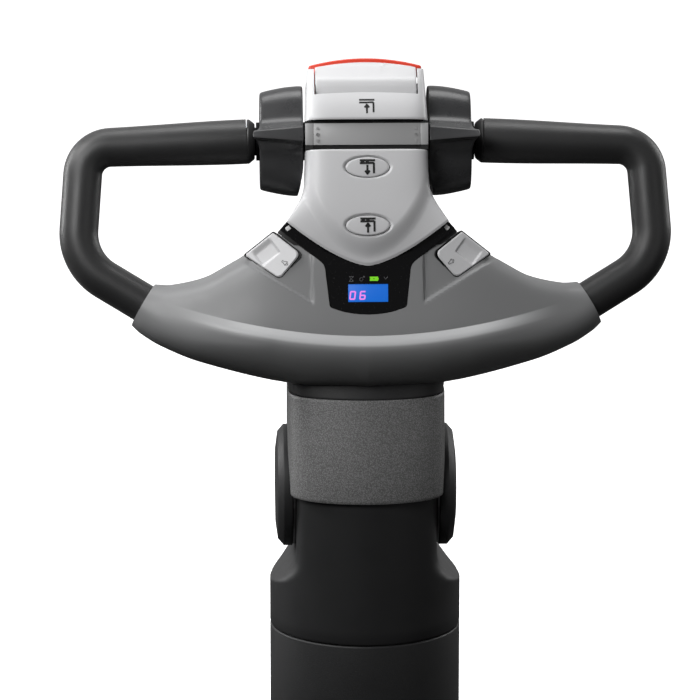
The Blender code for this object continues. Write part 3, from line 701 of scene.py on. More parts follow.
def add_piece(name, bm, place, finish, body, nodes=(), smooth=40, subdivide=0):
    """Puts a shape in the world as a piece that rides on a body and stands for those nodes."""
    bmesh.ops.transform(bm, matrix=place, verts=bm.verts)
    obj = new_object(name, bm)
    obj.data.materials.append(finishes()[finish])
    obj.data.shade_smooth()
    obj.data.set_sharp_from_angle(angle=math.radians(smooth))
    if subdivide:
        modifier = obj.modifiers.new("smooth", "SUBSURF")
        modifier.levels = modifier.render_levels = subdivide
    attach(obj, body)
    if nodes:
        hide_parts(*nodes)
    return obj


# ---------------------------------------------------------------- signs


def marked(lines, width, surface, height, parts=6):
    """Thin strips along lines that are drawn on a surface, raised by a height and let in as deep.
    surface(x, z) says how far the surface stands out there."""
    strips = []
    for line in lines:
        for (x0, z0), (x1, z1) in zip(line, line[1:]):
            ahead = Vector((x1 - x0, z1 - z0)).normalized() * (width / 2)

            def place(s, t, x0=x0, z0=z0, x1=x1, z1=z1, ahead=ahead):
                run = Vector((x0, z0)) - ahead * 0.6
                run += (Vector((x1 - x0, z1 - z0)) + ahead * 1.2) * s
                spot = run + Vector((-ahead.y, ahead.x)) * (2 * t - 1)
                return spot.x, -(surface(spot.x, spot.y) + height), spot.y

            strips.append(shaped(grid(parts, 2, place), wall=2 * height))
    return joined(strips)


def fork_sign(direction, loaded):
    """A fork under its load line, with an arrow that points up or down."""
    tip, tail = (1.3, -5.2) if direction > 0 else (-5.2, 1.3)
    head = tip - direction * 2.0
    lines = [[(-5.4, 5.2), (5.4, 5.2)], [(-5.4, 3.0), (-1.0, 3.0), (4.4, 3.2), (5.0, 2.6),
                                         (5.0, -4.4)],
             [(0, tail), (0, tip)], [(-1.5, head), (0, tip), (1.5, head)]]
    if loaded:
        lines += [[(-4.6, 4.1), (-2.8, 4.1)], [(-0.9, 4.1), (0.9, 4.1)]]
    return lines


def placed_lines(lines, x, z, scale=1.0):
    return [[(x + scale * px, z + scale * pz) for px, pz in line] for line in lines]


# ---------------------------------------------------------------- column


def column_half(height):
    """How far the column's sides reach: full round below the shoulder, flat beside the ears."""
    if height <= SHOULDER:
        return COLUMN_RADIUS
    return curve_at([(SHOULDER, COLUMN_RADIUS), (-60, 60.4), (-54, 54.8), (-48, 51.6),
                     (-41, TONGUE_HALF)],
                    height)


def add_column_covers(edge):
    """The turning cover with its two scoops, and the fixed cover under the seam."""
    heights = [SEAM_HIGH, SEAM_HIGH + 0.4, SEAM_HIGH + 1.2, -92, -82, -74, SHOULDER - 0.8, SHOULDER]
    heights += [SHOULDER + 0.4 + 1.2 * k for k in range(24)]
    heights += [-38, -30, -20, -10, 0, 6, 12, 18, 24, 29, 32.5, 34.6, COLUMN_TOP - 0.4, COLUMN_TOP]

    def upper(s, t):
        height = heights[round(t * (len(heights) - 1))]
        angle = 2 * math.pi * s
        half = column_half(height)
        across, out = COLUMN_RADIUS * math.cos(angle), COLUMN_RADIUS * math.sin(angle)
        corner = 7 * step(COLUMN_RADIUS - half, 0, 9)
        if corner:
            across = math.copysign(soft_limit(abs(across), half, corner), across)
        shrink = math.sqrt(1 - (max(height, 0) / COLUMN_RADIUS) ** 2)
        rim = 1 - 0.006 * step(-height, -SEAM_HIGH - 1.2, -SEAM_HIGH)
        return across * rim, out * shrink * rim, height

    pin = moved(turned([(0, -72), (12, -72), (12, 72), (0, 72)], 48), SIDEWAYS)
    cover = shaped(grid(216, len(heights) - 1, upper), wall=3, cutters=[pin])
    add_piece("column_shroud", cover, NECK, "shell_dark", "column", ["column_upper_cover"],
              smooth=32)

    radius, top = COLUMN_RADIUS, SEAM_LOW
    profile = [(radius - 3, COLUMN_FOOT), (radius - edge, COLUMN_FOOT)]
    profile += arc((radius - edge, COLUMN_FOOT + edge), edge, -90, 0, 3)
    profile += arc((radius - 1.1, top - 1.1), 1.1, 0, 90, 4) + [(radius - 3, top)]
    add_piece("column_skirt", turned(profile, 144, ring=True), NECK, "shell_speckled", "root",
              ["column_lower_cover"])


def add_foot():
    """The flange under the column, with its chamfers and its four cap screws."""
    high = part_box("base_flange")[1]
    radius, thick = high[0] / MM, high[2] / MM
    profile = [(34.6, 0), (radius - 1.2, 0), (radius, 1.2), (radius, thick - 1.6),
               (radius - 1.6, thick), (34.6, thick), (34, thick - 0.6), (34, 0.6)]
    holes = []
    for index in range(4):
        turn = math.radians(45 + 90 * index)
        spot = (BOLT_CIRCLE * math.cos(turn), BOLT_CIRCLE * math.sin(turn), 0)
        holes.append(moved(turned([(0, -3), (4.5, -3), (4.5, thick + 3), (0, thick + 3)], 32),
                           offset=spot))
        head = [(0, 1), (4, 1), (4, thick + 0.3), (6.4, thick + 0.3), (7, thick + 0.9), (7, 12.2),
                (6.3, 13), (0, 13)]
        socket = prism([(3.5 * x, 3.5 * y) for x, y in arc((0, 0), 1, 0, 300, 5)], 9.4, 20)
        screw = moved(shaped(turned(head, 40), cutters=[socket]), offset=spot)
        add_piece(f"flange_screw_{index + 1}", screw, FOOT, "bright_steel", "root",
                  [f"flange_bolt_{index + 1}"])
    flange = shaped(turned(profile, 120, ring=True), cutters=holes)
    add_piece("foot_flange", flange, FOOT, "bright_steel", "root", ["base_flange"])


# ---------------------------------------------------------------- neck


def neck_skin(low, high, half_low, half_high, swell=0.0, rim=0.0):
    """The place function of the neck's skin between two heights above the pivot."""

    def place(s, t):
        height = low + (high - low) * t
        front = curve_at([(-60, 73), (3.5, 73), (20, 72), (45, 67.5), (76, 58.5), (92, 53.5)],
                         height)
        back = curve_at([(-60, 73), (3.5, 73), (20, 71.5), (40, 66), (60, 56), (76, 48.5),
                         (92, 45)], height)
        x, y = squared(2 * math.pi * s, NECK_POWER)
        depth = ((front if y < 0 else back) + swell) * y * (1 - NECK_BULGE * x * x)
        tuck = 1 - rim * (step(t, 0.985, 1) + step(1 - t, 0.985, 1))
        return (half_low + (half_high - half_low) * t) * x * tuck, depth * tuck, height

    return place


def add_neck():
    ears = moved(turned([(0, -95), (EAR_RADIUS + 0.7, -95), (EAR_RADIUS + 0.7, 95), (0, 95)], 128),
                 SIDEWAYS)
    skin = grid(256, 60, neck_skin(NECK_LOW, NECK_HIGH, NECK_HALF, NECK_HALF, rim=0.008))
    add_piece("neck_shroud", shaped(skin, wall=2, cutters=[ears]), NECK, "shell_grained", "head",
              ["neck_housing"], smooth=50)
    skin = grid(256, 20, neck_skin(NECK_HIGH + 0.4, COLLAR_HIGH, NECK_HALF - 1.2, NECK_HALF + 1.5,
                                   rim=0.004))
    add_piece("neck_band", shaped(skin, wall=2.4), NECK, "shell_speckled", "head", ["neck_collar"],
              smooth=50)


def add_pivot_covers():
    """Round covers over the tilt pin's ends, with a chamfered rim and a shallow dish."""
    profile = [(0, 61.4), (30, 61.2), (37, 58), (38, EAR_NEAR)]
    profile += arc((EAR_RADIUS - 0.6, EAR_NEAR + 0.6), 0.6, -90, 0, 3)
    profile += arc((EAR_RADIUS - 1, 58.6), 1, 0, 40, 3) + arc((38.6, 62.4), 1, 45, 80, 3)
    profile += [(30, 64.6), (27, EAR_FAR), (24, EAR_FAR), (21.4, EAR_FAR - 0.9), (0, EAR_FAR - 1.1)]
    for name, side in SIDES:
        cover = moved(turned(profile, 144), SIDEWAYS if side > 0 else LEFTWARDS)
        add_piece(f"ear_disc_{name}", cover, NECK, "shell_speckled", "head",
                  [f"pivot_cover_{name}"], smooth=34)


# ---------------------------------------------------------------- handles


def handle_route():
    """The loop's centre line in the face plane, from the wing's end to the fascia's socket."""
    return filleted([(GRIP_START, 0), (204.4, -4.4), (210.4, -88.2), (144.5, -128.5)], (21, 40), 16)


def swept(route, radius_at, sides, side):
    """A round bar along a flat route in the face plane, mirrored to the given side."""
    count = len(route) - 1

    def place(s, t):
        i = round(t * count)
        ahead = (route[min(i + 1, count)] - route[max(i - 1, 0)]).normalized()
        radius, angle = radius_at(i / count), 2 * math.pi * s
        spot = route[i] + Vector((-ahead.y, ahead.x)) * (radius * math.cos(angle))
        return side * spot.x, radius * math.sin(angle), spot.y

    return loft(sides, count, place)


def add_grips():
    """The loops in the hands: a thick soft sleeve that slims towards the outside, its end ring and
    the gasket where it enters the fascia."""
    route = handle_route()
    line = stations(route, 0, 2.5)[:-4]
    for name, side in SIDES:
        grip = swept(line, lambda t: GRIP_RADIUS_WIDE + (GRIP_RADIUS_SLIM - GRIP_RADIUS_WIDE)
                     * step(t, 0.02, 0.42), 64, side)
        add_piece(f"hand_grip_{name}", grip, HEAD, "soft_black", "head", [f"grip_{name}"])

        bore = CORE_RADIUS + 0.4
        profile = [(bore, 80.4), (12.4, 80.4), (13.3, 80.9), (16.0, 84.3), (GRIP_RADIUS_WIDE, 85.2),
                   (GRIP_RADIUS_WIDE - 0.5, 86.1), (bore, 86.1)]
        ring = moved(turned(profile, 96, ring=True), SIDEWAYS if side > 0 else LEFTWARDS)
        add_piece(f"grip_collar_{name}", ring, HEAD, "soft_black", "head",
                  [f"grip_end_ring_{name}"], smooth=25)

        ahead = (route[-1] - route[-2]).normalized()
        mouth = Vector(((FASCIA_TOP_HALF + FASCIA_LOW_HALF) / 2, -119.2)) + ahead * 1.2
        way = Vector((side * ahead.x, 0, ahead.y))
        turn = Vector((0, 0, 1)).rotation_difference(way).to_matrix()
        profile = [(13.4, 0.6), (14, 0), (15.4, 0), (16, 0.8), (16, 5), (13.4, 5)]
        gasket = moved(turned(profile, 96, ring=True), turn.to_4x4(), (side * mouth.x, 0, mouth.y))
        add_piece(f"grip_gasket_{name}", gasket, HEAD, "soft_black", "head")


# ---------------------------------------------------------------- fascia


def fascia_edges(along):
    """Across and up for a point of the fascia's upper edge and of its lower edge."""
    top, low = FASCIA_TOP_HALF * along, FASCIA_LOW_HALF * along
    return (top, curve_at(FASCIA_UPPER, top)), (low, curve_at(FASCIA_LOWER, low))


def fascia_spot(s, c):
    """Across, out and up for a point s along the fascia, -1 to 1, and c down it, 0 to 1."""
    along = abs(s)
    upper, lower = fascia_edges(along)
    across = upper[0] + (lower[0] - upper[0]) * c
    up = upper[1] + (lower[1] - upper[1]) * c
    out = fascia_out(along, c) + lip_reach(across, up, c) - facet_depth(across, up)
    tuck = 5.5 * step(across, 50, 62) * (1 - step(across, 76, 87)) * (1 - step(c, 0, 0.13))
    return math.copysign(across, s), out, up - tuck


def fascia_out(along, c):
    """How far the front stands out, without its lip: round at the ends and flat in the middle."""
    middle = 1 - min(1, along) ** 3
    offset = 2 * c - 1
    power = 2 + (5 if offset < 0 else 2.2) * middle
    rounding = math.sqrt(max(0, 1 - abs(offset) ** power))
    return curve_at(FASCIA_DEPTH, FASCIA_TOP_HALF * along) * rounding


def crease_up(across):
    """The height of the crease that the lip starts at."""
    return CREASE_MIDDLE + CREASE_RISE * across ** 2


def crease_share(along):
    """How far down the fascia the crease lies, 0 to 1, at a point along it."""
    c = 0.7
    for _ in range(6):
        across = along * (FASCIA_TOP_HALF + (FASCIA_LOW_HALF - FASCIA_TOP_HALF) * c)
        (_, upper), (_, lower) = fascia_edges(along)
        c = min(0.85, max(0.3, (upper - crease_up(across)) / (upper - lower)))
    return c


def lip_reach(across, up, c):
    """How far the lip under the crease stands out from the fascia."""
    drop = crease_up(across) - up
    if drop <= 0:
        return 0.0
    rise = soft_limit(drop / 8, 1, 0.5)
    return LIP_REACH * rise * (1 - step(across, 70, 150)) * (1 - step(c, 0.8, 1.0))


def facet_depth(across, up):
    """How deep the three-cornered facet beside a horn key is sunk at a point of the face."""
    over = (across - FACET_POINT[0]) * FACET_WAY[0] + (up - FACET_POINT[1]) * FACET_WAY[1]
    return FACET_DEPTH * step(min(over, across - FACET_INNER), 0, FACET_SLOPE)


def fascia_surface(across, up):
    """How far the fascia's front stands out at a point of the face."""
    c = 0.5
    for _ in range(6):
        s = abs(across) / (FASCIA_TOP_HALF + (FASCIA_LOW_HALF - FASCIA_TOP_HALF) * c)
        (_, upper), (_, lower) = fascia_edges(s)
        c = min(1, max(0, (upper - up) / (upper - lower)))
    return fascia_out(s, c)


def bezel_outline(grow=0.0):
    """The display's outline: a rounded bowl between two arms that run up under the saddle."""
    sag = [(x, -131 + 4.6 * (x / 26) ** 2) for x in (0, 6, 12, 18)]
    corners = [*sag, (27.4, -125.6), (30.9, -94.6), (63.2, -69.2), (57.2, -62.6), (24, -78),
               (0, -80)]
    half = filleted([(x + (grow if x else 0), z - grow) for x, z in corners],
                    (30, 30, 30, 3.2, 9, 0.8, 0.8, 20), 6)
    return [(p.x, p.y) for p in half] + [(-p.x, p.y) for p in half[-2:0:-1]]


def panel_spot(s, t):
    """A point of the sheet that the display's surround and its lining are cut from."""
    return 134 * (s - 0.5), -57 - 78 * t


def bezel_out(x, z):
    """How far the display's gloss surround stands out at a point of the face."""
    return fascia_surface(x, min(z, -84)) - 0.5


def face_from_neck():
    """Carries a shape drawn about the tilt pivot into the head's frame."""
    return HEAD.inverted() @ NECK


def add_fascia(wall):
    """The crescent under the hands, in one front shell and two back shells."""

    def front(s, t):
        along = 2 * s - 1
        turn = math.acos(1 - 2 * crease_share(abs(along))) / math.pi
        t = t * turn / LIP_ROW if t < LIP_ROW else turn + (t - LIP_ROW) * (1 - turn) / (1 - LIP_ROW)
        across, out, up = fascia_spot(along, (1 - math.cos(math.pi * t)) / 2)
        return across, -out, up

    collar = loft(192, 2, neck_skin(NECK_HIGH - 4, COLLAR_HIGH + 6, NECK_HALF + 1.7,
                                    NECK_HALF + 1.7, 0.5))
    cutters = [moved(prism(bezel_outline(0.35), 8, 70), FACING), moved(collar, face_from_neck())]
    cutters += [horn_prism(side, 0.7, -14, 14) for _, side in SIDES]
    add_piece("crescent_fascia", shaped(grid(300, 120, front), wall=wall, cutters=cutters), HEAD,
              "shell_mid", "head", ["fascia"], smooth=24)

    for name, side in SIDES:

        def back(s, t, side=side):
            along = BACK_START + (1 - BACK_START) * s
            c = (1 - math.cos(math.pi * t)) / 2
            across, _, up = fascia_spot(side * along, c)
            depth = curve_at([(0, 27), (70, 27), (100, 24), (153.3, 17.2)], FASCIA_TOP_HALF * along)
            power = 2 + 3 * (1 - along ** 3)
            out = -depth * math.sqrt(max(0, 1 - abs(2 * c - 1) ** power)) - 0.3
            return across, -out, up

        add_piece(f"crescent_back_{name}", shaped(grid(96, 64, back), wall=wall), HEAD,
                  "shell_dark", "head", [f"fascia_back_{name}"], smooth=36)


# ---------------------------------------------------------------- display


def add_display(print_height):
    """The gloss black surround, its lit window with digits, and the row of signs over it."""

    def surround(s, t):
        x, z = panel_spot(s, t)
        edge = 0.35 * step(-z, 124, 131)
        return x, -(bezel_out(x, z) - edge), z

    window = moved(prism(rounded_rectangle(14.5, 6.5, 0.5), 20, 60), FACING, (0, 0, LCD_HEIGHT))
    keep = moved(prism(bezel_outline(), 5, 75), FACING)
    panel = shaped(grid(134, 78, surround), wall=3, cutters=[window], keep=keep, edge=0.3)
    add_piece("gloss_surround", panel, HEAD, "gloss_black", "head", ["display_bezel"], smooth=30)

    # A black lining behind the surround's edge: a dark sheet that stands in for the shade in the gap
    # round the surround
    def lining(s, t):
        x, z = panel_spot(s, t)
        return x, -(bezel_out(x, z) - 2.6), z

    rim = shaped(grid(60, 40, lining), wall=1.5,
                 keep=moved(prism(bezel_outline(1.8), 5, 75), FACING))
    add_piece("surround_lining", rim, HEAD, "print_black", "head", smooth=30)

    out = bezel_out(10, LCD_HEIGHT)
    glass = block((-14.3, 14.3), (-(out - 0.35), -(out - 4)), (-121.9, -109.3))
    add_piece("lit_window", bevelled(glass, 0.2, 2), HEAD, "display_blue", "head",
              ["display_window"])

    def glass_out(x, z):
        return out - 0.35

    ends = {"a": ((-1, 1), (1, 1)), "b": ((1, 1), (1, 0)), "c": ((1, 0), (1, -1)),
            "d": ((-1, -1), (1, -1)), "e": ((-1, 0), (-1, -1)), "f": ((-1, 1), (-1, 0)),
            "g": ((-1, 0), (1, 0))}
    half, tall, lean, middle = 1.7, 2.7, 0.35, -117.3
    strokes = []
    for centre, segments in ((-11.2, "abcdef"), (-4.0, "acdefg")):
        for segment in segments:
            line = [(centre + half * x + lean * z, middle + tall * z) for x, z in ends[segment]]
            strokes.append([Vector(line[0]).lerp(Vector(line[1]), k) for k in (0.1, 0.9)])
    add_piece("lit_digits", marked(strokes, 1.05, glass_out, print_height), HEAD, "display_digits",
              "head")

    def panel_out(x, z):
        return bezel_out(x, z) + 0.02

    hourglass = [[(-1.5, 1.8), (1.5, 1.8), (-1.5, -1.8), (1.5, -1.8), (-1.5, 1.8)]]
    wheel = [[(1.2 * x - 0.5, 1.2 * z - 0.4) for x, z in arc((0, 0), 1, 0, 360, 12)],
             [(0.6, 0.7), (1.9, 1.9)], [(0.9, 1.9), (1.9, 1.9), (1.9, 0.9)]]
    chevron = [[(-1.3, 1.2), (0, -0.6), (1.3, 1.2)]]
    ghosts = placed_lines(hourglass, -12.1, SIGN_HEIGHT) + placed_lines(wheel, -4.4, SIGN_HEIGHT)
    ghosts += placed_lines(chevron, 12.7, -105.2)
    add_piece("display_signs", marked(ghosts, 0.42, panel_out, print_height), HEAD, "display_ghost",
              "head")
    battery = [[(-2.7, 0.9), (2.5, 0.9)], [(-2.7, -0.9), (2.5, -0.9)], [(-2.3, 0), (-0.9, 0)],
               [(0.7, 0), (2.9, 0)]]
    add_piece("charge_sign", marked(placed_lines(battery, 4.3, SIGN_HEIGHT), 1.25, panel_out,
                                    print_height), HEAD,
              "display_charge", "head")

    for name, side in SIDES:
        x, z = side * 57.2, -68.4
        lens = prism(rounded_rectangle(1.7, 1.5, 0.4, 4), -2, 0.35)
        turn = Matrix.Rotation(-side * math.radians(37), 4, "Z")
        lens = moved(moved(moved(bevelled(lens, 0.15, 2), turn), FACING),
                     offset=(x, -bezel_out(x, z), z))
        add_piece(f"sensor_lens_{name}", lens, HEAD, "lens_white", "head")


# ---------------------------------------------------------------- pod


def saddle_half(height):
    return curve_at([(-64, 58.5), (-57, 54), (-48, 48.8), (-38, 45.6), (-28, 44.7), (-12, 44.5)],
                    height)


def key_dip(x, up):
    """How deep the bevelled ring round an oval key lies under the saddle."""
    half_x, half_z = KEY_HALF
    for height in (LOWER_HEIGHT, RAISE_HEIGHT):
        reach = math.hypot(x / (half_x + 1.9), (up - height) / (half_z + 1.5))
        if reach < 1.05:
            return 1.6 * min(1, max(0, (1 - reach) / 0.09))
    return 0.0


def tongue_drop(x, up):
    """How far the saddle's skirts lie under its raised tongue."""
    down = max(0.0, SADDLE_TOP - up)
    level = (abs(x) / 44.3) ** 1.8 + (down / TONGUE_DROP) ** 1.8
    return 4.6 * step(level, 0.93, 1.4) * step(down, 12, 34)


def saddle_out(x, up):
    """How far the middle of the saddle stands out."""
    return curve_at(POD_FRONT, up) - tongue_drop(x, up) - key_dip(x, up)


def add_saddle(wall):
    """The light cover whose raised tongue carries the two oval keys."""

    def place(s, t):
        x, y = squared(math.pi * (1 - s), POD_POWER)
        side_height = SADDLE_TOP + (SADDLE_CORNER - SADDLE_TOP) * t
        across = saddle_half(side_height) * x
        tip = SADDLE_CORNER - (SADDLE_CORNER - SADDLE_TIP) * (1 - abs(x) ** 1.5)
        up = SADDLE_TOP + (tip - SADDLE_TOP) * t
        skirt = curve_at([(-64, 43), (-50, 34), (-36, POD_SPLIT), (-12, POD_SPLIT)], side_height)
        foot = max(POD_SPLIT, skirt)
        roll = 0.7 * step(t, 0.975, 1) + 0.5 * step(1 - t, 0.985, 1)
        return across, -(foot + (saddle_out(across, up) - foot) * y - roll), up

    holes = [moved(prism(ellipse(KEY_HALF[0] + 0.4, KEY_HALF[1] + 0.4), 30, 60), FACING,
                   (0, 0, height))
             for height in (LOWER_HEIGHT, RAISE_HEIGHT)]
    add_piece("light_saddle", shaped(grid(230, 130, place), wall=wall, cutters=holes), HEAD,
              "shell_light", "head", ["saddle_cover"], smooth=40)


def add_oval_keys(print_height):
    """The two lift keys, with their printed signs."""
    for name, height, direction in (("lower", LOWER_HEIGHT, -1), ("raise", RAISE_HEIGHT, 1)):
        front = curve_at(POD_FRONT, height) - 0.2

        def dome(s, t, height=height, front=front):
            reach, angle = t, 2 * math.pi * s
            x = KEY_HALF[0] * reach * math.cos(angle)
            z = KEY_HALF[1] * reach * math.sin(angle)
            return x, -(front + 0.25 - 0.3 * reach ** 2 - 0.7 * step(reach, 0.93, 1)), height + z

        cap = shaped(grid(96, 24, dome), wall=6)
        add_piece(f"{name}_key", cap, HEAD, "shell_light", f"{name}_key", [f"{name}_button"],
                  smooth=50)
        sign = placed_lines(fork_sign(direction, True), 0, height, 0.93)
        add_piece(f"{name}_sign", marked(sign, 1.5, lambda x, z, front=front: front + 0.26,
                                         print_height), HEAD,
                  "print_black", f"{name}_key")


def crown_half(t):
    return POD_HALF - 2.2 * (1 - t)


def add_crown(wall, print_height):
    """The cover over the throttle's top, cut away round the belly button's pad."""

    def place(s, t):
        x, y = squared(math.pi * (1 - s), POD_POWER)
        up = CROWN_TOP + (CROWN_LOW - CROWN_TOP) * t
        out = curve_at(POD_FRONT, up)
        roll = 0.5 * step(t, 0.97, 1) + 0.8 * step(1 - t, 0.96, 1)
        return crown_half(t) * x, -(POD_SPLIT + (out - POD_SPLIT) * y - roll), up

    arch = [(x, CROWN_PANEL_TOP + 1.3 * (1 - (x / 37.4) ** 2)) for x in range(-36, 37, 4)]
    outline = [(-37.4, CROWN_PANEL_TOP), *arch, (37.4, CROWN_PANEL_TOP), (37.4, 60), (-37.4, 60)]
    hole = moved(prism(outline, 10, 60), FACING)
    add_piece("crown_shell", shaped(grid(200, 60, place), wall=wall, cutters=[hole]), HEAD,
              "shell_light", "head", ["crown_cover"], smooth=40)
    sign = placed_lines([[(-5.4, 5.2), (5.4, 5.2)], *fork_sign(1, False)[1:]], 0.2, 19.2, 0.95)
    add_piece("crown_sign", marked(sign, 1.35, lambda x, z: curve_at(POD_FRONT, z), print_height),
              HEAD, "print_black", "head")


def add_belly_button(print_height):
    """The red button on top of the head, and the light pad let into its front."""
    half, low = 41.2, 50
    across = [half * k / 16 for k in range(-16, 17)]
    top = [(x, 58.9 - 5.6 * (x / half) ** 2) for x in reversed(across)]
    cap = moved(prism([(half, low), *top, (-half, low)], -24, 15), FACING)
    core = block((-37.2, 37.2), (-17, 15), (31, low + 1))
    add_piece("red_button", joined([bevelled(cap, 1.5, 4, 25), bevelled(core, 0.6, 2)]), HEAD,
              "signal_red", "belly", ["belly_button"], smooth=35)

    def pad_out(x, up):
        out = curve_at([(29.5, 35.4), (36, 35.2), (41, 33.2), (45.5, 28.2), (52, 20), (56, 17)], up)
        return out - 0.8 * (x / PAD_HALF) ** 4 - 0.5 * step(abs(x), PAD_HALF - 1, PAD_HALF)

    def pad(s, t):
        x = PAD_HALF * (2 * s - 1)
        foot = 29.2 + 1.3 * (1 - (x / PAD_HALF) ** 2)
        head = 55.3 - 5.2 * (x / half) ** 2
        up = foot + (head - foot) * t
        return x, -pad_out(x, up), up

    add_piece("light_pad", shaped(grid(96, 48, pad), wall=2.4), HEAD, "shell_light", "belly",
              ["belly_pad"])
    emboss = [arc((16.8, 48.4), 5.6, 95, 205, 10)]
    add_piece("pad_relief", marked(emboss, 0.7, pad_out, print_height), HEAD, "shell_light",
              "belly")


def rocker_out(x, z):
    return math.sqrt(ROCKER_RADIUS ** 2 - z * z)


def add_rocker(print_height):
    """The grey band that rocks, with raised marks for up, middle and down at both ends."""

    def strip(radius, depth, low, high, near, far):
        outer = [(-out, up) for out, up in arc((0, 0), radius, low, high, 30)]
        inner = [(-out, up) for out, up in arc((0, 0), radius - depth, high, low, 20)]
        return moved(prism(outer + inner, near, far), SIDEWAYS)

    shapes = [bevelled(strip(ROCKER_RADIUS, 2.2, *BAND_SPAN, -ROCKER_HALF, ROCKER_HALF), 0.2, 2,
                       60)]
    for side in (-1, 1):
        near, far = sorted((side * 33, side * 37))
        shapes.append(moved(prism([(-41, -6), (-41, 6), (-15, 12), (-15, -12)], near, far),
                            SIDEWAYS))
    add_piece("grey_band", joined(shapes), HEAD, "band_grey", "rocker", ["lift_rocker"], smooth=35)
    # The black drum shows in the slots above and below the band, where it stands in for their shade
    drum = strip(ROCKER_RADIUS - 1.3, 1.6, -19, 23, -ROCKER_HALF, ROCKER_HALF)
    add_piece("band_drum", drum, HEAD, "print_black", "rocker", smooth=35)

    marks = []
    for x in (-35.4, 35.4):
        marks += placed_lines([[(-0.8, -0.6), (0, 0.9), (0.8, -0.6), (-0.8, -0.6)]], x, 3.6)
        marks += placed_lines([[(0.9 * a, 0.9 * b) for a, b in arc((0, 0), 1, 0, 360, 12)]], x,
                              -1.0)
        marks += placed_lines([[(-0.8, 0.6), (0, -0.9), (0.8, 0.6), (-0.8, 0.6)]], x, -5.6)
    add_piece("band_marks", marked(marks, 0.8, rocker_out, 4.5 * print_height, 3), HEAD,
              "band_grey", "rocker")

    for name, side in SIDES:
        near, far = sorted((side * (ROCKER_HALF + 0.2), side * 44.3))
        tab = bevelled(strip(ROCKER_RADIUS, 4, *BAND_SPAN, near, far), 0.2, 2, 60)
        add_piece(f"band_tip_{name}", tab, HEAD, "band_grey", "head", [f"band_end_{name}"],
                  smooth=35)
        # A black block behind the tip stands in for the shade seen through the gaps round it
        backing = block((near, far), (-41.4, -16.4), (-11.6, 8.9))
        add_piece(f"band_backing_{name}", backing, HEAD, "print_black", "head")


def add_pod_backs(wall):
    """The dark covers behind the pod and down the spine, held by recessed screws."""
    split, top = POD_SPLIT - 0.3, -59.2

    def back_out(up):
        return -41 + 0.325 * up

    def upper(s, t):
        x, y = squared(math.pi * (1 - s), BACK_POWER)
        up = -58 + 102 * t
        half = curve_at([(-58, 52), (-48, 47.5), (-36, 45), (44, 43)], up)
        roll = 1.6 * step(t, 0.95, 1)
        return (half - roll * 0.4) * x, -(split + (back_out(up) + roll - split) * y), up

    def lower(s, t):
        x, y = squared(math.pi * (1 - s), BACK_POWER)
        up = SPINE_FOOT + (top - SPINE_FOOT) * t
        half = curve_at([(SPINE_FOOT, 56.8), (-120, 55.5), (top, 52)], up)
        out = -0.3 + (back_out(up) + 0.3) * y
        return half * x, -out, up - math.tan(LEAN) * out * (1 - t)

    axle = moved(turned([(0, -95), (SLEEVE_RADIUS + 1.2, -95), (SLEEVE_RADIUS + 1.2, 95), (0, 95)],
                        64), SIDEWAYS)
    add_piece("pod_back", shaped(grid(140, 80, upper), wall=wall, cutters=[axle]), HEAD,
              "shell_speckled", "head", ["pod_back_cover"], smooth=36)

    wells, spots = [], [(-36, -74), (36, -74), (-38, -148), (38, -148)]
    backwards = Matrix.Rotation(-math.pi / 2, 4, "X")
    for x, up in spots:
        depth = -back_out(up)
        wells.append(moved(turned([(0, depth - 14), (4.6, depth - 14), (4.6, depth + 6),
                                   (0, depth + 6)], 40),
                           backwards, (x, 0, up)))
        head = [(0, depth - 9), (3.9, depth - 9), (3.9, depth - 6.4), (3.3, depth - 5.6),
                (0, depth - 5.3)]
        slots = [block((-2.2, 2.2), (-0.4, 0.4), (depth - 7, depth)),
                 block((-0.4, 0.4), (-2.2, 2.2), (depth - 7, depth))]
        screw = moved(shaped(turned(head, 36), cutters=slots), backwards, (x, 0, up))
        add_piece(f"spine_screw_{spots.index((x, up)) + 1}", screw, HEAD, "bright_steel", "head")
    add_piece("spine_shell", shaped(grid(140, 110, lower), wall=wall, cutters=wells), HEAD,
              "shell_speckled", "head", ["spine_cover"], smooth=36)


# ---------------------------------------------------------------- throttle and horn


def wing_ring(taper):
    """A section of a wing, as how far out and up each point is: a lobe above and below a thumb
    ridge, and a rounder back. The ridge's nose is lower where taper is smaller."""
    nose = [(41.8, 5.2 * taper), (44.3, -5.4 * taper)]
    return [(2, 41), (12, 38.6), (19, 31.5), (22.5, 23), (24.5, 15), (29, 9.2),
            (37, 6.2 * taper + 1), *nose,
            (37.5, -8.0 * taper), (30, -11), (26, -17), (23.5, -24), (19, -31.5), (12, -38.6),
            (2, -41),
            (-10, -39), (-20, -31.5), (-28, -19), (-32.5, -6), (-32.5, 6), (-28, 19), (-20, 31.5),
            (-10, 39)]


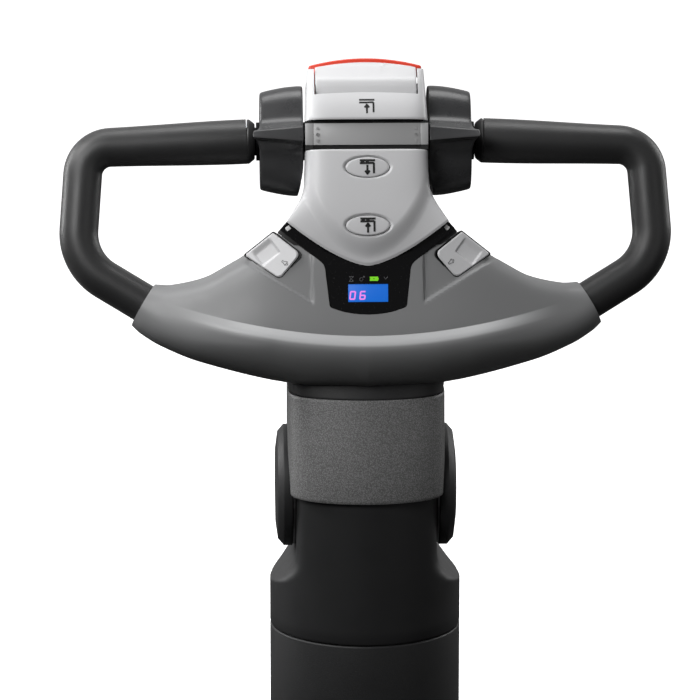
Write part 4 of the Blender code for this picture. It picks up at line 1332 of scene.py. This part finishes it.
def add_wings():
    """The two paddles that turn the throttle, each with a thumb ridge."""
    rows = [(0.4, 0.3), (0, 0.88), (0, 0.975), (0.6, 0.995), (3, 1.0), (12, 0.985), (21, 0.945),
            (28, 0.905), (30.7, 0.885), (31.4, 0.86), (31.6, 0.78), (31.6, 0.25)]
    count = len(wing_ring(1))
    for name, side in SIDES:

        def place(s, t, side=side):
            reach, scale = rows[round(t * (len(rows) - 1))]
            ring = wing_ring(1 - 0.45 * min(1, reach / 31))
            out, up = ring[round(s * count) % count]
            nose = step(out, 34, 43)
            low = step(-up, 26, 41)
            out, up = out * (scale + (0.97 - scale) * nose * (scale > 0.7)), up * scale
            across = WING_INNER + reach + (5.4 * nose * step(reach, 10, 31) if scale > 0.7 else 0)
            across += 3.6 * low * max(0, 1 - reach / 14)
            return side * across, -out, up

        wing = loft(count, len(rows) - 1, place)
        crease = wing.edges.layers.float.new("crease_edge")
        for edge in wing.edges:
            first, last = (vert.co for vert in edge.verts)
            along_ridge = -first.y > 34 and -last.y > 34 and abs(first.x - last.x) > 0.5
            edge[crease] = 0.95 if along_ridge else 0.0
        add_piece(f"throttle_paddle_{name}", wing, HEAD, "shell_wing", "throttle",
                  [f"throttle_wing_{name}"], smooth=60, subdivide=3)


def horn_frame(side):
    """The horn key's own frame: x across and y up its face, and z the way it points."""
    lean = math.radians(13)
    across = Vector((math.cos(lean), side * math.sin(lean), 0))
    up = Vector((0, 0, 1))
    spot = Vector((side * HORN_SPOT[0], -fascia_surface(HORN_SPOT[0], -88), HORN_SPOT[1]))
    turn = Matrix((across, up, across.cross(up))).transposed().to_4x4()
    return Matrix.Translation(spot) @ turn


def horn_outline(side, grow):
    """The key's rounded four corners, as a closed route of even steps that ends where it starts."""
    corners = [Vector((-side * x, z)) * (1 + grow / 15) for x, z in HORN_CORNERS]
    start = corners[3].lerp(corners[0], 0.5)
    return stations(filleted([start, *corners, start], (1.5, 1.5, 4, 4), 8), 0, 0.8)


def horn_prism(side, grow, low, high):
    outline = [(p.x, p.y) for p in horn_outline(side, grow)[:-1]]
    return moved(prism(outline, low, high), horn_frame(side))


def add_horn_keys(print_height):
    """The two horn keys: each has a finger scoop, open to the fascia's edge, and a horn sign."""
    outer = (Vector(HORN_CORNERS[1]) - Vector(HORN_CORNERS[0])).normalized()
    inward = Vector((-outer.y, outer.x))
    for name, side in SIDES:
        route = horn_outline(side, 0)

        def face(s, t, side=side, route=route):
            spot = route[round(s * (len(route) - 1))] * t
            local = Vector((-side * spot.x, spot.y)) - Vector(HORN_CORNERS[0])
            depth, along = local.dot(inward), local.dot(outer) - 12.5
            dish = (1 - step(depth, 13.5, 15.5)) * (1 - step(abs(along), 6.8, 8.8))
            dish *= step(depth, 0.8, 5.5)
            edge = 0.9 * step(t, 0.94, 1)
            return spot.x, spot.y, HORN_FACE - edge - 1.5 * dish

        key = moved(shaped(turn_upwards(grid(len(route) - 1, 56, face)), wall=3.5),
                    horn_frame(side))
        add_piece(f"horn_key_{name}", key, HEAD, "horn_grey", f"horn_key_{name}",
                  [f"horn_button_{name}"], smooth=50)
        # A black well behind the key: a dark tray that stands in for the shade inside the fascia
        # round the key's gap
        well = shaped(horn_prism(side, 1.2, -15, -3), cutters=[horn_prism(side, 0.65, -14, 2)])
        add_piece(f"horn_well_{name}", well, HEAD, "print_black", "head")
        horn = [[(-2.8, 1.0), (-1.2, 1.0), (1.6, 2.4), (1.6, -1.6), (-1.2, -0.6), (-2.8, -0.6),
                 (-2.8, 1.0)],
                [(2.6, 1.3), (3.1, 0.4), (2.6, -0.6)]]
        sign = marked(placed_lines(horn, 0, 0, 0.8), 0.42, lambda x, z: 0.0, print_height, 3)
        sign = moved(moved(sign, Matrix.Rotation(-math.pi / 2, 4, "X")),
                     Matrix.Rotation(side * math.radians(35), 4, "Z"),
                     (-side * 7.6, -5.6, HORN_FACE + 0.02))
        add_piece(f"horn_sign_{name}", moved(sign, horn_frame(side)), HEAD, "display_ghost",
                  f"horn_key_{name}")




# ---------------------------------------------------------------- metalwork and studio


def finish_frame_nodes():
    """Gives each sub-part that keeps its own mesh the finish its slot names."""
    slots = {part["node"]: part["material_slot"] for part in frame["record"]["subparts"]}
    for name, obj in frame["nodes"].items():
        finish = finishes()[slots[name]]
        obj.data.materials.clear()
        obj.data.materials.append(finish)
        obj.data.set_sharp_from_angle(angle=math.radians(32))


def area_light(name, spot, aim, size, power):
    data = bpy.data.lights.new(name, "AREA")
    data.shape = "RECTANGLE"
    data.size, data.size_y = size
    data.energy = power
    light = bpy.data.objects.new(name, data)
    light.location = spot
    light.rotation_euler = (Vector(aim) - Vector(spot)).to_track_quat("-Z", "Y").to_euler()
    bpy.context.scene.collection.objects.link(light)
    return light


def add_studio():
    """A pale floor, a white surround, brighter behind the object, soft lamps and the camera."""
    scene = bpy.context.scene
    scene.view_settings.view_transform = "Standard"
    world = bpy.data.worlds.new("studio")
    world.use_nodes = True
    scene.world = world
    shader = Shader(world.node_tree)
    background = world.node_tree.nodes["Background"]
    heading = Value(shader, shader.node("ShaderNodeTexCoord").outputs["Generated"])
    axes = shader.node("ShaderNodeSeparateXYZ", None, heading)
    behind = Value(shader, axes.outputs[1]).above(0.25, 0.9)
    over = Value(shader, axes.outputs[2]).above(0.0, 0.5)
    seen = Value(shader, shader.node("ShaderNodeLightPath").outputs["Is Camera Ray"])
    glow = (0.06 + behind * 0.45) * (0.08 + over * 0.92)
    strength = glow * (1 - seen) + seen
    shader.tree.links.new(strength.socket, background.inputs["Strength"])
    background.inputs["Color"].default_value = (1, 1, 1, 1)

    ground = bmesh.new()
    bmesh.ops.create_circle(ground, cap_ends=True, radius=30, segments=96)
    floor = new_object("studio_floor", ground)
    material, shader, principled = new_material("studio_floor", (0.8, 0.8, 0.8), 0.9)
    cloud = shader.noise(2, 2)
    link(shader, principled, Base_Color=shader.blend(cloud, (0.86, 0.86, 0.86), (0.9, 0.9, 0.9)))
    principled.inputs["Emission Color"].default_value = (1, 1, 1, 1)
    principled.inputs["Emission Strength"].default_value = 0.95
    floor.data.materials.append(material)
    floor.visible_diffuse = False
    floor.visible_glossy = False

    middle = (0, 0, 0.42)
    area_light("key", (-1.1, -1.5, 1.6), middle, (0.9, 0.9), 24)
    area_light("near_left", (-0.58, -0.1, 0.9), (-0.2, 0, 0.48), (0.3, 0.3), 2.5)
    area_light("fill", (1.9, -1.9, 1.1), middle, (1.6, 1.6), 5.5)
    area_light("top", (0, 0.3, 2.0), middle, (1.4, 0.7), 15)
    area_light("rim_left", (-1.5, 0.6, 0.85), (0, 0, 0.3), (0.4, 1.0), 14)
    area_light("rim_right", (1.5, 0.85, 0.9), (0, 0, 0.3), (0.4, 1.0), 8)

    distance, tilt, turn, width = 3.2, math.radians(13), math.radians(1.7), 0.5035
    data = bpy.data.cameras.new("camera")
    data.lens = data.sensor_width * distance / width
    camera = bpy.data.objects.new("camera", data)
    aim = Vector((-0.0108, 0, PIVOT.z + 0.0995))
    away = Vector((-math.sin(turn) * math.cos(tilt), -math.cos(turn) * math.cos(tilt),
                   math.sin(tilt)))
    camera.location = aim + away * distance
    camera.rotation_euler = (math.pi / 2 - tilt, 0, -turn)
    scene.collection.objects.link(camera)
    scene.camera = camera


# ---------------------------------------------------------------- operators


class TILLER_OT_frame_nodes(bpy.types.Operator):
    """Finish the metalwork and the inner pieces"""

    bl_idname = "tiller.frame_nodes"
    bl_label = "Metalwork"

    def execute(self, context):
        finish_frame_nodes()
        return {"FINISHED"}


class TILLER_OT_column_covers(bpy.types.Operator):
    """Add the two covers of the column"""

    bl_idname = "tiller.column_covers"
    bl_label = "Column covers"

    def execute(self, context):
        add_column_covers(context.scene.tiller_sizes.edge / MM)
        return {"FINISHED"}


class TILLER_OT_foot(bpy.types.Operator):
    """Add the flange and its screws"""

    bl_idname = "tiller.foot"
    bl_label = "Foot"

    def execute(self, context):
        add_foot()
        return {"FINISHED"}


class TILLER_OT_neck(bpy.types.Operator):
    """Add the grained neck, its collar and the pivot covers"""

    bl_idname = "tiller.neck"
    bl_label = "Neck"

    def execute(self, context):
        add_neck()
        add_pivot_covers()
        return {"FINISHED"}


class TILLER_OT_grips(bpy.types.Operator):
    """Add the two looped grips"""

    bl_idname = "tiller.grips"
    bl_label = "Grips"

    def execute(self, context):
        add_grips()
        return {"FINISHED"}


class TILLER_OT_fascia(bpy.types.Operator):
    """Add the crescent fascia and its backs"""

    bl_idname = "tiller.fascia"
    bl_label = "Fascia"

    def execute(self, context):
        add_fascia(context.scene.tiller_sizes.wall / MM)
        return {"FINISHED"}


class TILLER_OT_display(bpy.types.Operator):
    """Add the display and its surround"""

    bl_idname = "tiller.display"
    bl_label = "Display"

    def execute(self, context):
        add_display(context.scene.tiller_sizes.print_height / MM)
        return {"FINISHED"}


class TILLER_OT_saddle(bpy.types.Operator):
    """Add the light saddle and its oval keys"""

    bl_idname = "tiller.saddle"
    bl_label = "Saddle"

    def execute(self, context):
        sizes = context.scene.tiller_sizes
        add_saddle(sizes.wall / MM)
        add_oval_keys(sizes.print_height / MM)
        return {"FINISHED"}


class TILLER_OT_crown(bpy.types.Operator):
    """Add the crown, the rocking band and the red button"""

    bl_idname = "tiller.crown"
    bl_label = "Crown"

    def execute(self, context):
        sizes = context.scene.tiller_sizes
        add_crown(sizes.wall / MM, sizes.print_height / MM)
        add_rocker(sizes.print_height / MM)
        add_belly_button(sizes.print_height / MM)
        return {"FINISHED"}


class TILLER_OT_pod_backs(bpy.types.Operator):
    """Add the covers behind the pod and down the spine"""

    bl_idname = "tiller.pod_backs"
    bl_label = "Back covers"

    def execute(self, context):
        add_pod_backs(context.scene.tiller_sizes.wall / MM)
        return {"FINISHED"}


class TILLER_OT_paddles(bpy.types.Operator):
    """Add the throttle's two paddles"""

    bl_idname = "tiller.paddles"
    bl_label = "Throttle paddles"

    def execute(self, context):
        add_wings()
        return {"FINISHED"}


class TILLER_OT_horn_keys(bpy.types.Operator):
    """Add the two horn keys"""

    bl_idname = "tiller.horn_keys"
    bl_label = "Horn keys"

    def execute(self, context):
        add_horn_keys(context.scene.tiller_sizes.print_height / MM)
        return {"FINISHED"}


class TILLER_OT_studio(bpy.types.Operator):
    """Set up the floor, the lamps and the camera"""

    bl_idname = "tiller.studio"
    bl_label = "Studio"

    def execute(self, context):
        add_studio()
        return {"FINISHED"}


OPERATORS = (TILLER_OT_frame_nodes, TILLER_OT_column_covers, TILLER_OT_foot, TILLER_OT_neck,
             TILLER_OT_grips,
             TILLER_OT_fascia, TILLER_OT_display, TILLER_OT_saddle, TILLER_OT_crown,
             TILLER_OT_pod_backs, TILLER_OT_paddles, TILLER_OT_horn_keys, TILLER_OT_studio)


class TILLER_PT_panel(bpy.types.Panel):
    """Sizes, colours and pieces of the tiller head"""

    bl_idname = "TILLER_PT_panel"
    bl_label = "Tiller head"
    bl_space_type = "VIEW_3D"
    bl_region_type = "UI"
    bl_category = "Tiller"

    def draw(self, context):
        for settings in (context.scene.tiller_colours, context.scene.tiller_sizes):
            for name in settings.bl_rna.properties.keys():
                if name not in ("rna_type", "name"):
                    self.layout.prop(settings, name)
        for operator in OPERATORS:
            self.layout.operator(operator.bl_idname)


def register():
    for made in (TillerColours, TillerSizes, *OPERATORS, TILLER_PT_panel):
        bpy.utils.register_class(made)
    bpy.types.Scene.tiller_colours = bpy.props.PointerProperty(type=TillerColours)
    bpy.types.Scene.tiller_sizes = bpy.props.PointerProperty(type=TillerSizes)


def unregister():
    del bpy.types.Scene.tiller_sizes
    del bpy.types.Scene.tiller_colours
    for made in reversed((TillerColours, TillerSizes, *OPERATORS, TILLER_PT_panel)):
        bpy.utils.unregister_class(made)


def main():
    register()
    for operator in OPERATORS:
        group, name = operator.bl_idname.split(".")
        getattr(getattr(bpy.ops, group), name)()


if __name__ == "__main__":
    main()
